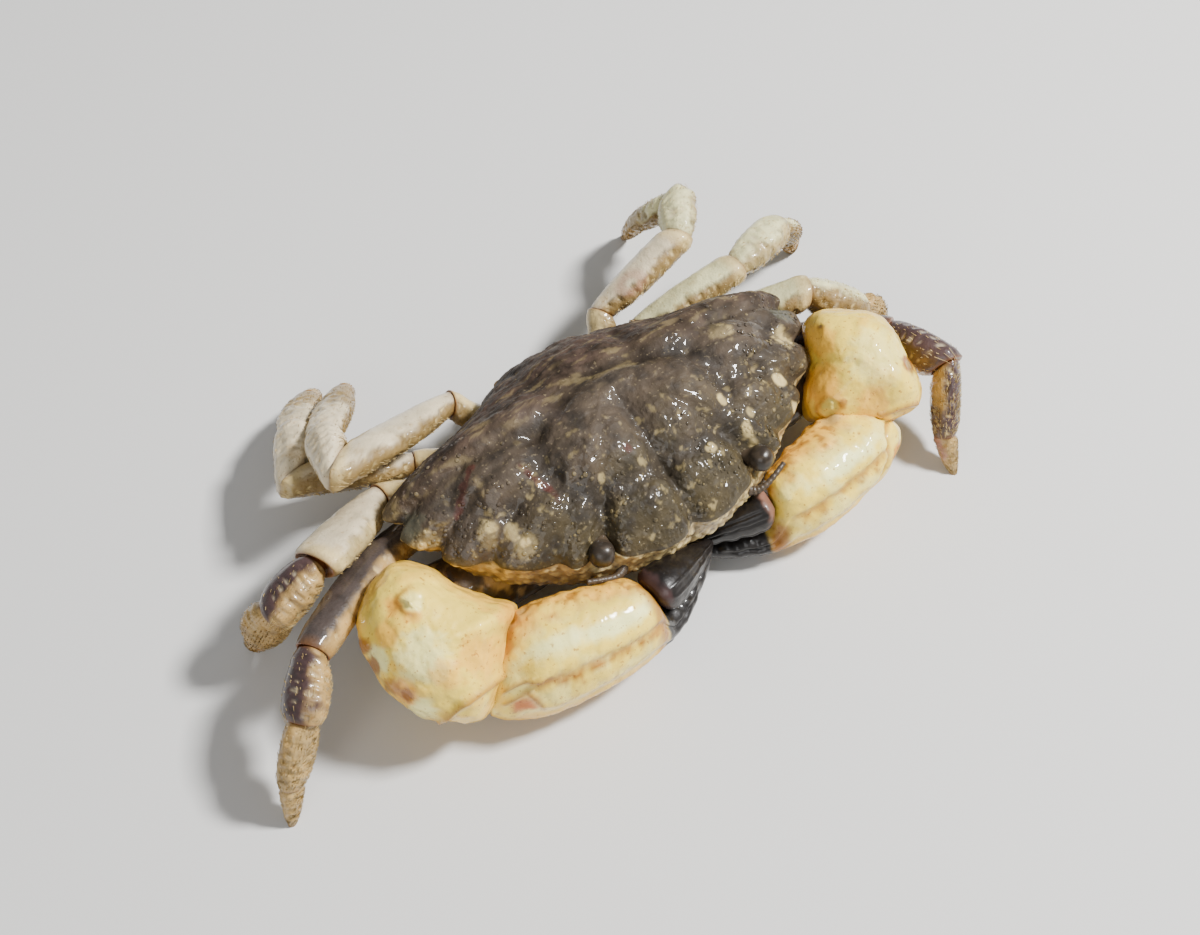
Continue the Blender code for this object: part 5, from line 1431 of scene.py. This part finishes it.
class CRAB_OT_claws(Operator):
    """Builds both claws: hip, arm, wrist, palm with its fixed finger, and movable finger"""

    bl_idname = "crab.claws"
    bl_label = "Build the claws"

    def execute(self, context):
        settings = context.scene.crab_limbs
        shell, horn = finish("claw"), finish("horn")
        for side in SIDES:
            self.build_arm(side, shell)
            self.build_wrist(side, shell)
            self.build_palm(side, settings, shell)
            self.build_finger(side, settings, horn)
        return {"FINISHED"}

    def build_arm(self, side, shell):
        claw = CLAWS[side]
        joints = [np.array(claw[key]) for key in ("hip", "arm", "elbow")]
        normals = joint_normals(joints)
        for number, (name, sections, gaps) in enumerate((
            ("coxa", CLAW_COXA, (0.0, ARM_GAP)), ("merus", CLAW_MERUS, (ARM_GAP, 0.0)),
        )):
            rings, share, _, _ = article_rings(
                joints[number], joints[number + 1], (0.0, 0.0, 1.0), sections, *ARM_GRID, claw["size"],
                normals[number:number + 2], gaps,
            )
            cloud = lumps(rings, "arm cloud", number)
            tones = paint(palette("stone"), "ochre", smoothstep(cloud, 0.1, 0.5))
            fade = np.clip(np.minimum(share, 1.0 - share) * 10.0, 0.0, 1.0)
            ring_piece(f"claw_{side}_{name}", rings, fade * 0.2 * cloud, tones, shell)

    def build_wrist(self, side, shell):
        rings, x, y, half, front = wrist_surface(side)
        cloud = lumps(rings, "wrist cloud")
        heights = 0.22 * cloud + 0.09 * lumps(rings, "wrist skin")
        tones = paint(palette("ivory"), "amber", 0.35 * smoothstep(-cloud, -0.1, 0.5))
        # Painted shade: amber deepens towards the wrist's outline in the view, where its surface turns away
        tones = paint(tones, "amber", 0.6 * smoothstep(np.hypot(x, y) / half + 0.15 * cloud, 0.88, 1.0))
        ragged = 0.35 * lumps(rings, "wrist rag")
        for mx, my, size, name, strength in WRIST_MARKS[side]:
            away = np.hypot(x - mx, y - my) / size + ragged
            tones = paint(tones, name, strength * front * smoothstep(-away, -1.2, -0.6))
        cx, cy, half_x, half_y, crust_name = WRIST_CRUSTS[side]
        to_crust = np.hypot((x - cx) / half_x, (y - cy) / half_y) + 0.25 * lumps(rings, "crust rim")
        crust = front * smoothstep(-to_crust, -1.1, -0.8)
        heights = heights + crust * (0.2 + 0.3 * lumps(rings, "crust"))
        # Painted shadow: brown round the crust's left and lower side, where the knob shades the wrist
        shade = front * near(to_crust, 1.2, 0.22) * smoothstep(cx + 0.3 * (cy - y) - x, -0.8, 0.4)
        tones = paint(tones, "brown", 0.7 * shade)
        tones = mix(tones, paint(palette("ivory"), crust_name, 0.5), crust)
        # Creases sink the wrist and are painted brown as shade
        for route, deep, width in WRIST_CREASES[side]:
            crease = front * near(distance_to_route(x, y, route), 0.0, width)
            heights = heights - deep * crease
            tones = paint(tones, "brown", 0.75 * crease)
        ring_piece(f"claw_{side}_carpus", rings, heights, tones, shell)

    def build_palm(self, side, settings, shell):
        rings, long, turn = hand_surface(
            side, HAND_SECTIONS, settings.hand_rings, settings.hand_sides, "upper")
        cloud = lumps(rings, "palm cloud")
        ragged = 0.35 * lumps(rings, "palm rag")
        crown = smoothstep(turn + 20 * cloud, 78, 105) * smoothstep(-turn, -165, -140)
        knobs = cells_of(rings, "palm knobs") * crown * smoothstep(-long, -17.0, -15.0)
        heights = (0.12 * cloud + 0.06 * lumps(rings, "palm skin")) * smoothstep(long, -1.0, 1.0)
        heights = heights + 0.35 * knobs
        groove = near(turn + 24 * ragged, 15, 8) * smoothstep(long, 1.0, 3.5) * smoothstep(-long, -16.5, -15)
        row = near(turn + 12 * ragged, -12, 6) * smoothstep(lumps(rings, "palm row"), 0.1, 0.3)
        tones = paint(palette("ivory"), "milk", 0.4 * smoothstep(cloud, -0.2, 0.4))
        tones = paint(tones, "amber", 0.9 * crown)
        tones = paint(tones, "brown", 0.75 * crown * smoothstep(lumps(rings, "crown stain"), 0.0, 0.35))
        tones = paint(tones, "amber", 0.7 * smoothstep(-turn + 10 * cloud, 12, 40))
        tones = paint(tones, "brown", groove * (0.75 + ragged))
        tones = paint(tones, "brown", 0.6 * row)
        # The palm marks hold stains, the joint spot and a long milk band that is a painted highlight
        for where, at_turn, half_length, half_turn, name, strength in PALM_MARKS[side]:
            away = np.hypot((long - where) / half_length, (turn - at_turn) / half_turn) + ragged
            tones = paint(tones, name, strength * smoothstep(-away, -1.25, -0.4))
        # Creases sink the palm and are painted brown as shade
        for route, deep, width in PALM_CREASES[side]:
            crease = near(distance_to_route(long, turn / 10.0, route), 0.0, width)
            heights = heights - deep * crease
            tones = paint(tones, "brown", 0.8 * crease)
        border = long + 0.6 * ragged - FINGER_BORDERS[side]
        tones = paint(tones, "brown", 0.8 * near(border, -0.5, 0.7), 0.8)
        tones = paint(tones, "horn", smoothstep(border, -0.2, 0.4))
        heights = heights * np.clip((HAND_END - long) * 1.5, 0.0, 1.0)
        ring_piece(f"claw_{side}_palm", rings, heights, tones, shell)

    def build_finger(self, side, settings, horn):
        rings, long, turn = hand_surface(
            side, FINGER_SECTIONS, settings.hand_rings // 2, settings.hand_sides, "lower")
        grooves = sum(near(turn, place, 4) for place in FINGER_GROOVES)
        ends = np.clip(np.minimum(long - 17.6, HAND_END - long) * 0.8, 0.0, 1.0)
        heights = (-0.16 * grooves + 0.05 * lumps(rings, "finger skin")) * ends
        # Painted shade: the right finger's base is dark plum rather than rose, for the shadow it lies in
        base = palette("plum") if side == "right" else palette("rose") * 0.6
        tones = paint(base, "horn", smoothstep(long + 0.5 * lumps(rings, "finger base"), 17.3, 18.2))
        ring_piece(f"claw_{side}_finger", rings, heights, tones, horn)


class CRAB_OT_underbody(Operator):
    """Builds the breastplate, the folded tail, the mouth doors, the eyes and the feelers"""

    bl_idname = "crab.underbody"
    bl_label = "Build the underside, eyes and feelers"

    def execute(self, context):
        belly, eye = finish("belly"), finish("eye")
        self.build_thorax(belly)
        self.build_abdomen(belly)
        for side, mirror in zip(SIDES, (-1.0, 1.0)):
            across = np.array((mirror, 1.0, 1.0))
            self.build_mouth_door(side, across, belly)
            self.build_eye(side, across, eye)
            self.build_feeler(side, across, belly)
        return {"FINISHED"}

    def build_thorax(self, material):
        rows, columns = THORAX_GRID
        tilt = np.linspace(math.pi - 0.02, 0.02, rows)[:, None]
        turn = ring_angles(columns, 0.0)
        x, y, z = np.sin(tilt) * np.cos(turn), np.sin(tilt) * np.sin(turn), np.cos(tilt) + 0.0 * turn
        half_height = np.where(z >= 0, THORAX_TOP - THORAX_LEVEL, THORAX_LEVEL - BELLY)
        rings = np.stack((
            power(x, 0.8) * THORAX_HALF[0], power(y, 0.8) * THORAX_HALF[1] + THORAX_MIDDLE,
            THORAX_LEVEL + half_height * power(z, 0.5),
        ), axis=-1)
        out = np.abs(rings[..., 0])
        seams = sum(near(rings[..., 1] - 0.18 * out, seam_y, 0.3) for seam_y in THORAX_SEAMS)
        heights = -0.35 * seams * smoothstep(out, 3.5, 5.0) + 0.08 * lumps(rings, "thorax skin")
        tones = paint(palette("mint"), "ochre", np.clip(0.6 * seams, 0.0, 0.8))
        ring_piece("thorax", rings, heights * smoothstep(-z, 0.05, 0.4), tones, material)

    def build_abdomen(self, material):
        rows, columns = ABDOMEN_GRID
        route = smooth_route(ABDOMEN_ROUTE, rows)
        ways = unit(np.gradient(route[:, :2], axis=0))
        angle = ring_angles(columns)
        across = power(np.cos(angle), 0.6) * route[:, 2:3]
        rise = ABDOMEN_THICKNESS / 2 * power(np.sin(angle), 0.6)
        y, z = route[:, :1] + ways[:, 1:] * rise, route[:, 1:2] - ways[:, :1] * rise
        rings = np.stack((across, y, z), axis=-1)
        seams = near((np.arange(rows) % SEGMENT_ROWS)[:, None] + 0.0 * across, SEGMENT_ROWS - 1.0, 1.0)
        tones = paint(palette("tan"), "cream", smoothstep(lumps(rings, "abdomen tone"), -0.1, 0.5))
        tones = paint(tones, "plum", 0.7 * np.maximum(seams, smoothstep(rings[..., 1], 9.0, 12.0)))
        heights = 0.08 * lumps(rings, "abdomen skin") + 0.12 * cells_of(rings, "abdomen grains") - 0.2 * seams
        ring_piece("abdomen", rings, heights, tones, material)

    def build_mouth_door(self, side, across, material):
        start, end = DOOR_ENDS * across
        rings, _, _, _ = article_rings(start, end, (0, -1, -1), MOUTH_DOOR, *DOOR_GRID)
        tones = paint(palette("ochre"), "cream", smoothstep(lumps(rings, "door tone"), -0.1, 0.4))
        heights = 0.06 * lumps(rings, "door skin")
        ring_piece(f"maxilliped_{side}", rings, heights, tones, material)

    def build_eye(self, side, across, material):
        start, end = EYE_ENDS * across
        sections = [(share, radius, radius, radius) for share, radius in EYE_RADII]
        rings, share, _, _ = article_rings(start, end, (0, 0, 1), sections, *EYE_GRID, keen=LIMB_SQUARENESS)
        cornea = paint(palette("dark"), "stone", 0.6 * smoothstep(lumps(rings, "cornea"), -0.2, 0.4))
        tones = mix(palette("stone"), cornea, smoothstep(share + 0.03 * lumps(rings, "eye edge"), 0.5, 0.56))
        facets = 0.012 * cells_of(rings, "eye facets") * smoothstep(share, 0.55, 0.65)
        ring_piece(f"eye_{side}", rings, facets, tones, material)

    def build_feeler(self, side, across, material):
        rows, columns = FEELER_GRID
        route = smooth_route(FEELER_ROUTE, rows)
        centres = route[:, :3] * across
        ways = unit(np.gradient(centres, axis=0))
        sideways = unit(np.cross(ways, (0.0, 0.0, 1.0)))
        angle = ring_angles(columns)[None, :, None]
        ring = np.cos(angle) * sideways[:, None] + np.sin(angle) * np.cross(sideways, ways)[:, None]
        joints = 1.0 + 0.08 * np.cos(np.linspace(0.0, FEELER_JOINTS * 2.0 * math.pi, rows))
        rings = centres[:, None] + (route[:, 3] * joints)[:, None, None] * ring
        tones = np.broadcast_to(palette("stone"), rings.shape)
        ring_piece(f"antenna_{side}", rings, np.zeros((rows, columns)), tones, material)


class CRAB_OT_studio(Operator):
    """Sets the plain floor, the soft lights and the camera"""

    bl_idname = "crab.studio"
    bl_label = "Set the studio"

    def execute(self, context):
        settings = context.scene.crab_studio
        link = context.scene.collection.objects.link
        self.add_floor(settings.floor_size, link)
        world = bpy.data.worlds.new("soft daylight")
        world.use_nodes = True
        sky = world.node_tree.nodes["Background"]
        sky.inputs["Color"].default_value = SKY_COLOUR
        sky.inputs["Strength"].default_value = settings.sky
        context.scene.world = world
        for name, power_key, place, size in LIGHTS:
            self.add_light(name, getattr(settings, power_key), place, size, link)
        context.scene.camera = self.add_camera(link)
        return {"FINISHED"}

    def add_floor(self, half, link):
        mesh = bpy.data.meshes.new("floor")
        corners = [(x * half, y * half, 0.0) for x, y in ((-1, -1), (1, -1), (1, 1), (-1, 1))]
        mesh.from_pydata(corners, [], [(0, 1, 2, 3)])
        material = bpy.data.materials.new("pale floor")
        material.use_nodes = True
        shader = material.node_tree.nodes["Principled BSDF"]
        shader.inputs["Base Color"].default_value = FLOOR_COLOUR
        shader.inputs["Roughness"].default_value = FLOOR_ROUGHNESS
        mesh.materials.append(material)
        floor = bpy.data.objects.new("floor", mesh)
        link(floor)
        floor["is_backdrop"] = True

    def add_light(self, name, watts, place, size, link):
        light = bpy.data.lights.new(name, "AREA")
        light.energy = watts
        light.size = size
        lamp = bpy.data.objects.new(name, light)
        middle = Vector((SHIFT[0], SHIFT[1], CRAB_MIDDLE)) * MM
        lamp.location = place
        lamp.rotation_euler = (middle - Vector(place)).to_track_quat("-Z", "Y").to_euler()
        link(lamp)

    def add_camera(self, link):
        data = bpy.data.cameras.new("camera")
        data.lens, data.sensor_width = CAMERA_LENS, CAMERA_SENSOR
        data.clip_start = CAMERA_CLIP
        camera = bpy.data.objects.new("camera", data)
        matrix = Matrix(view_axes(CAMERA_TURN, CAMERA_RISE)).transposed().to_4x4()
        matrix.translation = (Vector(CAMERA_PLACE) + Vector(SHIFT)) * MM
        camera.matrix_world = matrix
        link(camera)
        return camera


OPERATORS = (
    CRAB_OT_back, CRAB_OT_granules, CRAB_OT_underbody, CRAB_OT_claws, CRAB_OT_legs, CRAB_OT_bristles,
    CRAB_OT_studio,
)
SETTINGS = (
    ("crab_shell", CrabShellSettings), ("crab_limbs", CrabLimbSettings), ("crab_palette", CrabPalette),
    ("crab_studio", CrabStudioSettings),
)


class CRAB_PT_panel(Panel):
    """Sizes, colours and build steps of the crab"""

    bl_idname = "CRAB_PT_panel"
    bl_label = "Furrowed Crab"
    bl_space_type = "VIEW_3D"
    bl_region_type = "UI"
    bl_category = "Crab"

    def draw(self, context):
        for pointer, group in SETTINGS:
            box = self.layout.box()
            for key in group.__annotations__:
                box.prop(getattr(context.scene, pointer), key)
        for operator in OPERATORS:
            self.layout.operator(operator.bl_idname)


def register():
    for pointer, group in SETTINGS:
        bpy.utils.register_class(group)
        setattr(bpy.types.Scene, pointer, PointerProperty(type=group))
    for cls in OPERATORS + (CRAB_PT_panel,):
        bpy.utils.register_class(cls)


def unregister():
    for cls in (CRAB_PT_panel,) + tuple(reversed(OPERATORS)):
        bpy.utils.unregister_class(cls)
    for pointer, group in reversed(SETTINGS):
        delattr(bpy.types.Scene, pointer)
        bpy.utils.unregister_class(group)


def main():
    register()
    bpy.ops.crab.back()
    bpy.ops.crab.granules()
    bpy.ops.crab.underbody()
    bpy.ops.crab.claws()
    bpy.ops.crab.legs()
    bpy.ops.crab.bristles()
    bpy.ops.crab.studio()
    boxes = {name: [list(corner) for corner in box] for name, box in (("cad", CAD_BOUNDS), ("visual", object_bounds()))}


if __name__ == "__main__":
    main()
